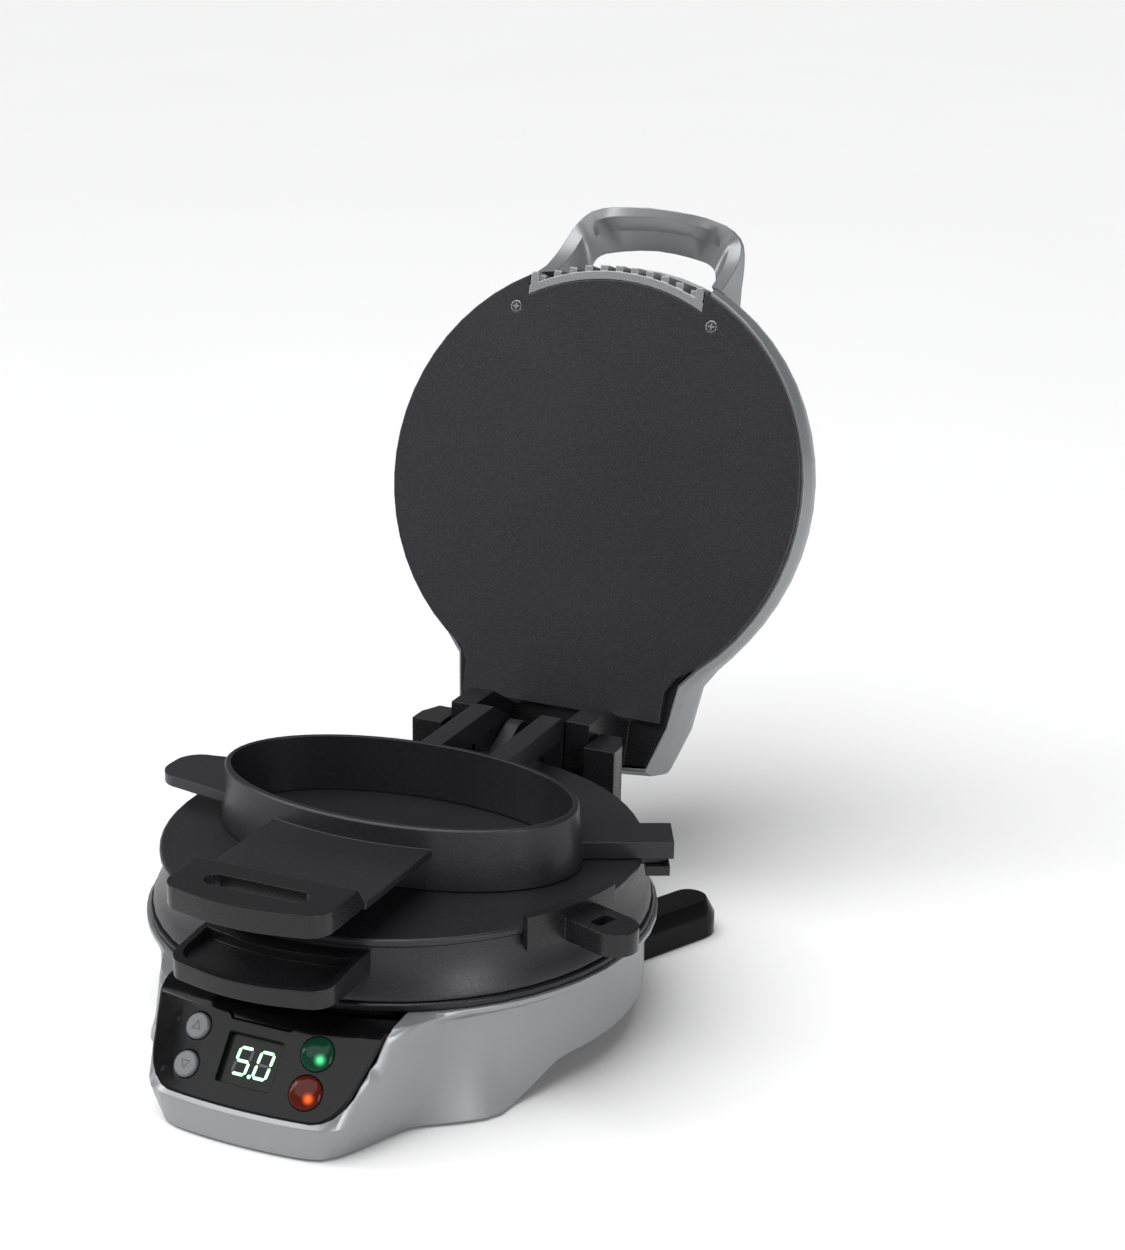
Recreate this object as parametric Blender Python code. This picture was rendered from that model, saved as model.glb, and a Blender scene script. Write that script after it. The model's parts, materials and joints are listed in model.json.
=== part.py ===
"""Breakfast burrito maker: a round countertop cooker with a hinged lid, two hinged rings and a plate
that swings out.

Lengths are in metres. +Z is up and the control panel faces -Y. The origin is the centre of the bottom
cover's flat underside, straight below the centre of the round plates, and the table lies TABLE_DROP lower.
The lid is modelled shut and then turned open about the hinge pin, which is how it stands at rest.
"""

from math import asin, atan2, cos, pi, radians, sin, sqrt

import bmesh
import bpy
import numpy as np
from mathutils import Matrix, Vector

# Fits
GAP = 0.0003
RUNNING_GAP = 0.0012
OVERRUN = 0.004
OVERLAP = 0.0008
EDGE_ROUND = 0.0006
MERGE_DISTANCE = 1e-7
FLAT_ANGLE = 1e-4

# Round pieces are drawn with these counts of flats
ROUND_STEPS = 52
PLATE_STEPS = 64
LID_STEPS = 56
EGG_STEPS = 64
MEDIUM_STEPS = 28
PIN_STEPS = 16
SMALL_STEPS = 10
PANEL_COLUMNS = 8
CORNER_STEPS = 4
REAR_STEPS = 15
NOSE_STEP = radians(2.4)
NOSE_SPAN = radians(34)
SIDE_STEP = radians(4)
SIDE_START = radians(36)
SIDE_END = radians(72)
REAR_START = radians(76)
SMOOTH_ANGLE = radians(32)
COVER_END_TURN = radians(2)

# Body of the base
BODY_RADIUS = 0.1124
HINGE_BEHIND_BODY = 0.0186
HINGE_Y = BODY_RADIUS + HINGE_BEHIND_BODY
BODY_LIP_HEIGHT = 0.0022
BODY_LIP_UNDERCUT = 0.0036
WAIST_INSET = 0.0054
WAIST_RADIUS = BODY_RADIUS - WAIST_INSET
FOOT_FLARE = 0.0085
FOOT_RADIUS = WAIST_RADIUS + FOOT_FLARE
FOOT_FLARE_TOP = 0.020
BODY_WALL = 0.0026
BODY_TOP = 0.0325
FOOT_SKIRT = 0.0165
TABLE_DROP = 0.018
ARCH_DROP = 0.0024
BODY_CREASE_BLEND = 0.003

# Nose that carries the control panel
PANEL_SLOPE_SHARE = 0.805
NOSE_TOP_Z = 0.029
NOSE_TOP_FORWARD = 0.0109
NOSE_TOP_REACH = BODY_RADIUS + NOSE_TOP_FORWARD
NOSE_SHOULDER_DROP = 0.001
NOSE_SHOULDER_SETBACK = 0.0048
NOSE_SHOULDER_REACH = NOSE_TOP_REACH - NOSE_SHOULDER_SETBACK
NOSE_CHIN_Z = -0.002
NOSE_FOOT_FORWARD = 0.0227
NOSE_FOOT_REACH = NOSE_TOP_REACH + NOSE_FOOT_FORWARD
NOSE_FRONT_RADIUS = 0.236
NOSE_TOP_HALF_WIDTH = 0.05365
NOSE_FOOT_SIDE_INSET = 0.0057
NOSE_TAPER_SHARE = 0.41
NOSE_SIDE_INTERCEPT = NOSE_TOP_HALF_WIDTH + NOSE_TAPER_SHARE * NOSE_TOP_REACH
NOSE_FOOT_SIDE_INTERCEPT = NOSE_SIDE_INTERCEPT - NOSE_FOOT_SIDE_INSET
NOSE_CORNER_POWER = 30

# Where the body's lower edge changes height, as directions round from the front
FRONT_FOOT_END = radians(51)
ARCH_START = radians(67)
FLARE_END_LOW = radians(50)
FLARE_END_HIGH = radians(43)
FLARE_BLEND = radians(5)
ARCH_END = radians(112)
REAR_EDGE_START = radians(118)
TOWER_EDGE_START = radians(136)
TOWER_EDGE_END = radians(142.5)

# Bottom covers, legs and feet
COVER_THICKNESS = 0.003
COVER_PAD_RADIUS = 0.030
COVER_GROOVE_WIDTH = 0.0015
COVER_GROOVE_DEPTH = 0.0008
REAR_SHELF_HALF_WIDTH = 0.058
REAR_SHELF_BEHIND_HINGE = 0.012
REAR_SHELF_REACH = HINGE_Y + REAR_SHELF_BEHIND_HINGE
FRONT_COVER_THICKNESS = 0.002
FRONT_COVER_RISE = 0.0015
FRONT_COVER_BACK_INSET = 0.0464
FRONT_COVER_BACK = BODY_RADIUS - FRONT_COVER_BACK_INSET
FRONT_POST_RADIUS = 0.0045
FRONT_POST_SIDE_INSET = 0.0564
FRONT_POST_X = BODY_RADIUS - FRONT_POST_SIDE_INSET
FRONT_POST_INSET = 0.0284
FRONT_POST_Y = FRONT_POST_INSET - BODY_RADIUS
FRONT_FOOT_SIDE_INSET = 0.0424
FRONT_FOOT_X = BODY_RADIUS - FRONT_FOOT_SIDE_INSET
FRONT_FOOT_INSET = 0.0374
FRONT_FOOT_Y = FRONT_FOOT_INSET - BODY_RADIUS
FOOT_PAD_RADIUS = 0.0075
LEG_ROOT_SIDE_INSET = 0.0464
LEG_ROOT_X = BODY_RADIUS - LEG_ROOT_SIDE_INSET
LEG_ROOT_INSET = 0.0384
LEG_ROOT_Y = BODY_RADIUS - LEG_ROOT_INSET
LEG_SPREAD = 0.023
LEG_END_X = LEG_ROOT_X + LEG_SPREAD
LEG_LENGTH = 0.0474
LEG_END_Y = LEG_ROOT_Y + LEG_LENGTH
LEG_RADIUS = 0.0125
LEG_SIDE_HEIGHT = 0.0085
LEG_TOP_INSET = 0.004
LEG_TABLE_GAP = 0.0006
SCREW_RADIUS = 0.0015
SCREW_HEAD_RADIUS = 0.0029
SCREW_HEAD_HEIGHT = 0.0018
BOSS_RADIUS = 0.005
BOSS_HEIGHT = 0.014
BOSS_INSET = 0.0062
BOSS_DISTANCE = WAIST_RADIUS - BOSS_INSET
BOSS_DIRECTION = radians(78)

# Control panel and what sits in it
PANEL_THICKNESS = 0.0024
PANEL_BOTTOM_Z = 0.0008
PANEL_BOTTOM_HALF_WIDTH = 0.0425
PANEL_SIDE_MARGIN = 0.00115
PANEL_TOP_HALF_WIDTH = NOSE_TOP_HALF_WIDTH - PANEL_SIDE_MARGIN
PANEL_CORNER_RADIUS = 0.010
PANEL_INSET = 0.0005
BUTTON_X = 0.0275
BUTTON_UPPER_Z = 0.0222
BUTTON_LOWER_Z = 0.0098
BUTTON_RADIUS = 0.0055
BUTTON_PROUD = 0.0009
BUTTON_FLANGE = 0.0011
BUTTON_FLANGE_THICKNESS = 0.001
BUTTON_TRAVEL = 0.0012
LENS_RADIUS = 0.00685
LENS_PROUD = 0.0016
LENS_FLANGE = 0.0006
WINDOW_WIDTH = 0.0253
WINDOW_HEIGHT = 0.0203
WINDOW_MARGIN = 0.0012
WINDOW_THICKNESS = 0.0014
DISPLAY_Z = 0.01575
DIGIT_BLOCK_MARGIN = 0.0008
RECESS_TOP_HALF_WIDTH = 0.0185
RECESS_BOTTOM_HALF_WIDTH = 0.0132
RECESS_BOTTOM_Z = 0.0278
RECESS_DEPTH = 0.0014
BOARD_DEPTH = 0.0112
BOARD_THICKNESS = 0.0016
BOARD_WIDTH = 0.078
BOARD_HEIGHT = 0.028
PANEL_POST_RADIUS = 0.0018
PANEL_POST_X = 0.0365
PANEL_POST_RISE = 0.0105
LED_RADIUS = 0.0025
SWITCH_SIDE = 0.006
SWITCH_HEIGHT = 0.0026

# Power board on the bottom cover
POWER_BOARD_WIDTH = 0.070
POWER_BOARD_DEPTH = 0.050
POWER_BOARD_Y = -0.035
POWER_BOARD_LIFT = 0.0035
STANDOFF_RADIUS = 0.0025
TRANSFORMER_WIDTH = 0.022
TRANSFORMER_DEPTH = 0.020
TRANSFORMER_HEIGHT = 0.012
RELAY_WIDTH = 0.012
RELAY_DEPTH = 0.018
RELAY_HEIGHT = 0.010
COMPONENT_OFFSET = 0.017

# Deck and lower heating plate
DECK_INSET = 0.0015
DECK_RADIUS = BODY_RADIUS - DECK_INSET
DECK_LIP = 0.0031
DECK_SKIRT_DEPTH = 0.0055
DECK_SKIRT_WALL = 0.003
HOT_PLATE_INSET = 0.0114
HOT_PLATE_RADIUS = DECK_RADIUS - HOT_PLATE_INSET
DECK_UNDER_PLATE = 0.0095
DECK_HOLE_RADIUS = HOT_PLATE_RADIUS - DECK_UNDER_PLATE
HOT_PLATE_THICKNESS = 0.004
HOT_PLATE_DISH = 0.0008
HOT_PLATE_RIM = 0.006
ELEMENT_RADIUS = 0.060
ELEMENT_TUBE = 0.0035
ELEMENT_OPENING = radians(32)
ELEMENT_TAIL = 0.012
ELEMENT_TAIL_RADIUS = 0.0025
REFLECTOR_BRIM = 0.008
REFLECTOR_DEPTH = 0.008
REFLECTOR_THICKNESS = 0.0008
REFLECTOR_HOLE = 0.014
THERMOSTAT_RADIUS = 0.009
THERMOSTAT_HEIGHT = 0.009

# Rings and cooking plate
BOTTOM_RING_HEIGHT = 0.0219
BOTTOM_RING_INSET = 0.0015
BOTTOM_RING_FOOT_RADIUS = DECK_RADIUS - BOTTOM_RING_INSET
BOTTOM_RING_FLARE = 0.0052
BOTTOM_RING_TOP_RADIUS = BOTTOM_RING_FOOT_RADIUS - BOTTOM_RING_FLARE
BOTTOM_RING_WALL = 0.0037
BOTTOM_RING_SHARES = ((0, 0), (0.10, 0), (0.28, 0.36), (0.48, 0.70), (0.75, 0.93), (1, 1))
BOTTOM_RING_INNER_SHARES = (0.50, 0.24)
PLATE_OVERHANG = 0.0018
PLATE_RADIUS = BOTTOM_RING_TOP_RADIUS + PLATE_OVERHANG
PLATE_THICKNESS = 0.0036
PLATE_EDGE = 0.0009
PLATE_RIM_WIDTH = 0.0035
PLATE_RIM_HEIGHT = 0.0002
EGG_RING_HEIGHT = 0.0268
EGG_RING_INSET = 0.0228
EGG_RING_HALF_LENGTH = PLATE_RADIUS - EGG_RING_INSET
EGG_RING_NARROWING = 0.0366
EGG_RING_HALF_WIDTH = EGG_RING_HALF_LENGTH - EGG_RING_NARROWING
EGG_RING_DRAFT = 0.002
EGG_RING_WALL = 0.003
EGG_RING_Y = -0.0041
EGG_RIM_ROUND = 0.0008

# Shelf and tab of the egg ring
SHELF_HALF_WIDTH = 0.0375
SHELF_INSET = 0.002
SHELF_FRONT = SHELF_INSET - PLATE_RADIUS
SHELF_TOP_DROP = 0.0088
SHELF_THICKNESS = 0.003
SHELF_TONGUE_HALF_WIDTH = 0.022
SHELF_TONGUE_LENGTH = 0.0115
SHELF_TONGUE_FRONT = SHELF_FRONT - SHELF_TONGUE_LENGTH
TAB_TOP_DROP = 0.0121
TAB_THICKNESS = 0.005
TAB_OVERHANG = 0.0097
TAB_TIP_X = -PLATE_RADIUS - TAB_OVERHANG
TAB_ROOT_INSET = 0.0092
TAB_ROOT_X = TAB_ROOT_INSET - EGG_RING_HALF_LENGTH
TAB_TIP_HALF_WIDTH = 0.015
TAB_ROOT_HALF_WIDTH = 0.021
TAB_CORNER_RADIUS = 0.012

# Pivot block of the egg ring and the cooking plate's pivot
PIVOT_OUTSET = 0.0045
PIVOT_RADIUS = PLATE_RADIUS + PIVOT_OUTSET
PIVOT_DIRECTION = radians(17.5)
BLOCK_TURN = radians(26)
BLOCK_WIDTH = 0.0212
BLOCK_END = 0.0076
BLOCK_LENGTH = 0.041
BLOCK_HEIGHT = 0.0077
BLOCK_FOOT_INSET = 0.0014
BLOCK_FOOT_HEIGHT = 0.0044
BLOCK_FOOT_REACH = 0.0042
PIVOT_PIN_RADIUS = 0.0025
PIVOT_EAR_RADIUS = 0.006
PIVOT_CAP = 0.0018

# Handle of the cooking plate
PLATE_HANDLE_DIRECTION = radians(-20.5)
PLATE_HANDLE_SPREAD = radians(13)
PLATE_HANDLE_SKEW = radians(-1.9)
PLATE_HANDLE_WALL = 0.0036
PLATE_HANDLE_RISE = 0.0055
PLATE_HANDLE_DROP = 0.006
PLATE_TAB_LENGTH = 0.032
PLATE_TAB_REACH = PLATE_RADIUS + PLATE_TAB_LENGTH
PLATE_TAB_HALF_WIDTH = 0.0098
PLATE_TAB_RISE = 0.0004
PLATE_TAB_THICKNESS = 0.0098
PLATE_TAB_SLOT_LENGTH = 0.0105
PLATE_TAB_SLOT_WIDTH = 0.0058
PLATE_TAB_SLOT_SETBACK = 0.0165
PLATE_TAB_SLOT_DISTANCE = PLATE_TAB_REACH - PLATE_TAB_SLOT_SETBACK
PLATE_TONGUE_LENGTH = 0.0102
PLATE_TONGUE_REACH = PLATE_RADIUS + PLATE_TONGUE_LENGTH
PLATE_TONGUE_HALF_WIDTH = 0.0075
PLATE_SCREW_SETBACK = 0.0028
PLATE_SCREW_DISTANCE = PLATE_TONGUE_REACH - PLATE_SCREW_SETBACK
PLATE_SCREW_SPREAD = 0.0042

# Upper front handle
UPPER_HANDLE_TOP_DROP = 0.0015
UPPER_HANDLE_HEIGHT = 0.0096
UPPER_HANDLE_HALF_WIDTH = 0.0368
UPPER_HANDLE_LENGTH = 0.039
UPPER_HANDLE_FRONT = SHELF_FRONT - UPPER_HANDLE_LENGTH
UPPER_HANDLE_CORNER = 0.010
UPPER_HANDLE_BACK_SLANT = 0.005
UPPER_HANDLE_BOW = 0.004
UPPER_SLOT_HALF_LENGTH = 0.0235
UPPER_SLOT_WIDTH = 0.0105
UPPER_SLOT_SETBACK = 0.0185
UPPER_SLOT_Y = UPPER_HANDLE_FRONT + UPPER_SLOT_SETBACK
HANDLE_SCREW_X = 0.013
UPPER_SCREW_SETBACK = 0.005
UPPER_SCREW_Y = SHELF_TONGUE_FRONT + UPPER_SCREW_SETBACK

# Lower front handle
LOWER_LIP_OUTSET = 0.0072
LOWER_LIP_RADIUS = PLATE_RADIUS + LOWER_LIP_OUTSET
LOWER_HANDLE_LENGTH = 0.0278
LOWER_HANDLE_FRONT = -LOWER_LIP_RADIUS - LOWER_HANDLE_LENGTH
LOWER_HANDLE_HALF_WIDTH = 0.0365
LOWER_HANDLE_ROOT = 0.0052
LOWER_HANDLE_BACK = LOWER_HANDLE_ROOT - BOTTOM_RING_TOP_RADIUS
LOWER_HANDLE_BOTTOM_DROP = 0.0116
LOWER_HANDLE_FRONT_HEIGHT = 0.007
LOWER_HANDLE_LIP_DROP = 0.0012
LOWER_TRAY_BORDER = 0.003
LOWER_TRAY_DEPTH = 0.0009
LOWER_TRAY_LENGTH = 0.028
LOWER_TRAY_BACK = LOWER_HANDLE_FRONT + LOWER_TRAY_LENGTH
LOWER_TONGUE_HALF_WIDTH = 0.020
LOWER_TONGUE_SETBACK = 0.017
LOWER_TONGUE_FRONT = LOWER_HANDLE_FRONT + LOWER_TONGUE_SETBACK
LOWER_TONGUE_THICKNESS = 0.0022
LOWER_TONGUE_RISE = 0.0012
LOWER_SCREW_SETBACK = 0.0055
LOWER_SCREW_Y = LOWER_TONGUE_FRONT + LOWER_SCREW_SETBACK

# Hinge
HINGE_ABOVE_PLATE = -0.004
HINGE_PIN_RADIUS = 0.003
LID_OPENING = radians(107)
POST_INNER_X = 0.0375
POST_WIDTH = 0.0155
POST_BEFORE_HINGE = 0.020
POST_FRONT_Y = HINGE_Y - POST_BEFORE_HINGE
POST_BEHIND_HINGE = 0.010
POST_BACK_Y = HINGE_Y + POST_BEHIND_HINGE
POST_CORNER_SETBACK = 0.010
POST_CORNER_Y = POST_FRONT_Y + POST_CORNER_SETBACK
POST_BACK_WIDTH = 0.0067
POST_ABOVE_HINGE = 0.012
POST_TOP_SLOPE = 0.005
PIN_SEAT_DEPTH = 0.007
TOWER_WALL_BEFORE_HINGE = 0.013
TOWER_WALL_FRONT_Y = HINGE_Y - TOWER_WALL_BEFORE_HINGE
TOWER_WALL_BELOW_HINGE = 0.024
PIN_HEAD_RADIUS = 0.0052
PIN_HEAD_LENGTH = 0.0014
CORD_BUSH_RADIUS = 0.0065
CORD_BUSH_LENGTH = 0.010
CORD_BUSH_FLANGE = 0.0015
CORD_BORE_RADIUS = 0.0034
CORD_INLET_Z = 0.016
LID_ARM_WIDTH = 0.012
LID_KNUCKLE_RADIUS = 0.013
LID_SHOULDER_HALF_LENGTH = 0.011
LID_SHOULDER_HEIGHT = 0.020
LID_ARM_BEHIND_HINGE = 0.006
LID_ARM_BACK_Y = HINGE_Y + LID_ARM_BEHIND_HINGE
LID_ARM_SETBACK = 0.0022
RING_ARM_WIDTH = 0.0105
UPPER_KNUCKLE_RADIUS = 0.012
UPPER_ARM_DEPTH = 0.011
UPPER_ARM_TOP_DROP = 0.0091
UPPER_ARM_BEFORE_HINGE = 0.014
UPPER_ARM_BACK_Y = HINGE_Y - UPPER_ARM_BEFORE_HINGE
LOWER_ARM_WIDTH = 0.0075
LOWER_KNUCKLE_RADIUS = 0.011
LOWER_ARM_BOTTOM_RISE = 0.0048
LOWER_ARM_TOP_DROP = 0.0021
LOWER_ARM_BEFORE_HINGE = 0.0285
LOWER_ARM_ROOT_Y = HINGE_Y - LOWER_ARM_BEFORE_HINGE

# Lid
LID_PLATE_OVERHANG = 0.0017
LID_PLATE_RADIUS = PLATE_RADIUS + LID_PLATE_OVERHANG
LID_PLATE_THICKNESS = 0.004
LID_NECK_HALF_WIDTH = 0.053
LID_NECK_LENGTH = 0.0058
LID_NECK_REACH = LID_PLATE_RADIUS + LID_NECK_LENGTH
LID_NECK_CORNER = radians(3)
LID_NOTCH_HALF_WIDTH = 0.0465
LID_NOTCH_DEPTH = 0.0091
LID_NOTCH_RADIUS = LID_PLATE_RADIUS - LID_NOTCH_DEPTH
LID_RIM_WIDTH = 0.0031
LID_RADIUS = LID_PLATE_RADIUS + LID_RIM_WIDTH
LID_TAIL_LENGTH = 0.0312
LID_TAIL_REACH = LID_RADIUS + LID_TAIL_LENGTH
LID_TAIL_HALF_WIDTH = 0.05446
LID_TAIL_TAPER_SHARE = 0.12
LID_TAIL_INTERCEPT = LID_TAIL_HALF_WIDTH + LID_TAIL_TAPER_SHARE * LID_TAIL_REACH
LID_TAIL_CORNER_POWER = 20
LID_TAIL_BLEND = 0.004
LID_WALL = 0.0024
LID_RIM_RISE = 0.0043
LID_DOME_HEIGHT = 0.044
FRAME_HEIGHT = 0.005
FRAME_UNDER_PLATE = 0.0237
FRAME_HOLE_RADIUS = LID_PLATE_RADIUS - FRAME_UNDER_PLATE
LID_SCREW_SIDE_INSET = 0.0557
LID_SCREW_X = LID_PLATE_RADIUS - LID_SCREW_SIDE_INSET
LID_SCREW_INSET = 0.0267
LID_SCREW_Y = LID_SCREW_INSET - LID_PLATE_RADIUS
GRILLE_LIP_WIDTH = 0.004
GRILLE_WALL = 0.0022
GRILLE_HEIGHT = 0.0225
GRILLE_RIB_COUNT = 11
GRILLE_RIB_WIDTH = 0.004
GRILLE_RIB_DEPTH = 0.003
GRILLE_RIB_SPAN_SHARE = 0.88
GRILLE_MARGIN = 0.0015
GRILLE_CORNER_WIDTH = 0.0045
GRILLE_CORNER_OUTSET = 0.0004
GRILLE_CORNER_REACH = LID_NOTCH_RADIUS + GRILLE_CORNER_OUTSET
GRILLE_CORNER_DEPTH = 0.0075
GRILLE_CORNER_RADIUS = 0.0019

# Lid handle: an arch with a hollow underside, given at stations from its middle to its root
HANDLE_BEYOND_LID = 0.0282
HANDLE_REACH = LID_RADIUS + HANDLE_BEYOND_LID
HANDLE_HALF_WIDTH = 0.0506
HANDLE_CREST_RISE = 0.0466
HANDLE_EDGE = 0.0015
HANDLE_TOP_THICKNESS = 0.003
HANDLE_STATIONS = 15
HANDLE_HOLLOW_SHARES = (0.35, 0.75)
HANDLE_OUTER_SHARES = (
    (0.0, 1.0),
    (0.336, 0.995),
    (0.520, 0.989),
    (0.704, 0.973),
    (0.834, 0.947),
    (0.903, 0.914),
    (0.939, 0.867),
    (0.955, 0.812),
    (0.960, 0.755),
    (0.976, 0.723),
    (1.0, 0.687),
    (1.036, 0.576),
)
HANDLE_INNER_SHARES = (
    (0.0, 0.860),
    (0.251, 0.854),
    (0.435, 0.842),
    (0.553, 0.832),
    (0.623, 0.819),
    (0.656, 0.802),
    (0.672, 0.781),
    (0.682, 0.755),
    (0.692, 0.727),
    (0.696, 0.698),
    (0.702, 0.655),
    (0.721, 0.547),
)
HANDLE_RIM_SHARES = (
    (0.0, 0.967),
    (0.316, 0.960),
    (0.494, 0.955),
    (0.644, 0.941),
    (0.731, 0.922),
    (0.777, 0.896),
    (0.796, 0.860),
    (0.810, 0.799),
    (0.822, 0.748),
    (0.854, 0.716),
    (0.927, 0.698),
    (0.927, 0.560),
)
HANDLE_RISE_SHARES = (
    (0.582, 1.0),
    (0.603, 1.0),
    (0.667, 0.994),
    (0.764, 0.989),
    (0.850, 0.983),
    (0.856, 0.979),
    (0.796, 0.968),
    (0.646, 0.957),
    (0.421, 0.936),
    (0.238, 0.903),
    (0.056, 0.850),
    (0.056, 0.764),
)

# Lid cover: radius at shares of its height, round the dome and across its tail
DOME_SHARES = (
    (0.0, 0.984),
    (0.14, 1.0),
    (0.30, 0.998),
    (0.50, 0.975),
    (0.68, 0.930),
    (0.83, 0.860),
    (0.93, 0.750),
    (0.985, 0.56),
    (1.0, 0.30),
)
TAIL_SHARES = (0.984, 1.0, 1.0, 1.0, 0.998, 0.985, 0.93, 0.72, 0.35)
TAIL_HALF_TURN = radians(30)
TAIL_FADE_TURN = radians(62)

# Heights and places that follow from the sizes above
DECK_TOP = BODY_TOP + GAP + DECK_LIP
HOT_PLATE_BOTTOM = DECK_TOP + GAP
HOT_PLATE_TOP = HOT_PLATE_BOTTOM + HOT_PLATE_THICKNESS
RING_FOOT = DECK_TOP + GAP
RING_TOP = RING_FOOT + BOTTOM_RING_HEIGHT
PLATE_BOTTOM = RING_TOP + GAP
PLATE_TOP = PLATE_BOTTOM + PLATE_THICKNESS
EGG_RING_FOOT = PLATE_TOP + GAP
EGG_RING_TOP = EGG_RING_FOOT + EGG_RING_HEIGHT
LID_PLATE_BOTTOM = EGG_RING_TOP + GAP
LID_PLATE_TOP = LID_PLATE_BOTTOM + LID_PLATE_THICKNESS
LID_DOME_TOP = LID_PLATE_TOP + LID_DOME_HEIGHT
HINGE_Z = PLATE_TOP + HINGE_ABOVE_PLATE
LID_ARM_FRONT_Y = LID_NECK_REACH + LID_ARM_SETBACK
LID_ARM_OUTER_X = POST_INNER_X - RUNNING_GAP
LID_ARM_INNER_X = LID_ARM_OUTER_X - LID_ARM_WIDTH
UPPER_ARM_OUTER_X = LID_ARM_INNER_X - RUNNING_GAP
UPPER_ARM_INNER_X = UPPER_ARM_OUTER_X - RING_ARM_WIDTH
LOWER_ARM_OUTER_X = UPPER_ARM_INNER_X - RUNNING_GAP
LOWER_ARM_INNER_X = LOWER_ARM_OUTER_X - LOWER_ARM_WIDTH
PIVOT_X = PIVOT_RADIUS * cos(PIVOT_DIRECTION)
PIVOT_Y = PIVOT_RADIUS * sin(PIVOT_DIRECTION)
PANEL_ANGLE = atan2(1, PANEL_SLOPE_SHARE)
HINGE = Vector((0, HINGE_Y, HINGE_Z))

SILVER = ("satin_silver", (0.42, 0.44, 0.47), 0.34, 0.6)
BLACK = ("black_plastic", (0.022, 0.021, 0.023), 0.38, 0.0)
GLOSS_BLACK = ("gloss_black", (0.008, 0.008, 0.009), 0.08, 0.0)
NONSTICK = ("nonstick_coating", (0.058, 0.057, 0.064), 0.48, 0.3)
STEEL = ("steel", (0.55, 0.55, 0.56), 0.28, 1.0)
TIN = ("tinned_sheet", (0.62, 0.62, 0.63), 0.4, 1.0)
BUTTON_GREY = ("button_grey", (0.36, 0.38, 0.41), 0.4, 0.1)
SMOKED = ("smoked_window", (0.012, 0.014, 0.012), 0.1, 0.0)
GREEN_LENS = ("green_lens", (0.03, 0.22, 0.12), 0.12, 0.0)
RED_LENS = ("red_lens", (0.45, 0.05, 0.03), 0.12, 0.0)
LED_EPOXY = ("led_epoxy", (0.8, 0.85, 0.8), 0.2, 0.0)
BOARD_GREEN = ("circuit_board", (0.02, 0.12, 0.05), 0.45, 0.0)
RUBBER = ("rubber", (0.03, 0.03, 0.032), 0.8, 0.0)
CERAMIC = ("thermostat_ceramic", (0.75, 0.72, 0.66), 0.6, 0.0)


def clear_scene():
    """Removes every object that the scene starts with."""
    for obj in list(bpy.data.objects):
        bpy.data.objects.remove(obj, do_unlink=True)


def material_of(spec):
    """The Principled material of a (name, colour, roughness, metallic) row, made once."""
    name, colour, roughness, metallic = spec
    found = bpy.data.materials.get(name)
    if found:
        return found
    made = bpy.data.materials.new(name)
    made.use_nodes = True
    shader = made.node_tree.nodes["Principled BSDF"]
    shader.inputs["Base Color"].default_value = (*colour, 1)
    shader.inputs["Roughness"].default_value = roughness
    shader.inputs["Metallic"].default_value = metallic
    made.diffuse_color = (*colour, 1)
    return made


def empty_at(name, place, turn=(0, 0, 0), parent=None):
    """An empty on a joint's axis, which carries the pieces that move there."""
    empty = bpy.data.objects.new(name, None)
    empty.location = place
    empty.rotation_euler = turn
    empty.parent = parent
    bpy.context.scene.collection.objects.link(empty)
    return empty


def add_object(name, mesh, spec, body, place=None, smooth=True):
    """Links a mesh as a piece of a body. Its place is given in the shut frame."""
    obj = bpy.data.objects.new(name, mesh)
    bpy.context.scene.collection.objects.link(obj)
    obj.parent = body["carrier"]
    obj["body_origin"] = body["origin"]
    obj.matrix_local = Matrix.Translation(-body["origin"]) @ (place or Matrix.Identity(4))
    mesh.materials.append(material_of(spec))
    if smooth:
        mesh.shade_smooth()
        mesh.set_sharp_from_angle(angle=SMOOTH_ANGLE)
    return obj


def finish_mesh(name, shape):
    """Turns a bmesh into a mesh whose faces point outwards."""
    bmesh.ops.remove_doubles(shape, verts=shape.verts, dist=MERGE_DISTANCE)
    bmesh.ops.recalc_face_normals(shape, faces=shape.faces)
    bmesh.ops.connect_verts_nonplanar(shape, faces=shape.faces, angle_limit=FLAT_ANGLE)
    mesh = bpy.data.meshes.new(name)
    shape.to_mesh(mesh)
    shape.free()
    return mesh


def lofted(name, rings, caps=True):
    """A mesh through rings of equal point counts, capped at both ends or closed on itself."""
    shape = bmesh.new()
    rows = [[shape.verts.new(point) for point in ring] for ring in rings]
    pairs = list(zip(rows, rows[1:]))
    if not caps:
        pairs.append((rows[-1], rows[0]))
    for low, high in pairs:
        for k in range(len(low)):
            after = (k + 1) % len(low)
            shape.faces.new((low[k], low[after], high[after], high[k]))
    if caps:
        shape.faces.new(rows[0])
        shape.faces.new(rows[-1])
    return finish_mesh(name, shape)


def turned(name, profile, steps=ROUND_STEPS):
    """A profile of (radius, height) points spun about Z, a closed loop unless its ends lie on the axis."""
    shape = bmesh.new()
    verts = [shape.verts.new((radius, 0, height)) for radius, height in profile]
    edges = [shape.edges.new(pair) for pair in zip(verts, verts[1:])]
    if min(profile[0][0], profile[-1][0]) > 0:
        edges.append(shape.edges.new((verts[-1], verts[0])))
    bmesh.ops.spin(
        shape,
        geom=verts + edges,
        axis=(0, 0, 1),
        cent=(0, 0, 0),
        angle=2 * pi,
        steps=steps,
        use_merge=True,
    )
    return finish_mesh(name, shape)


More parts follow.
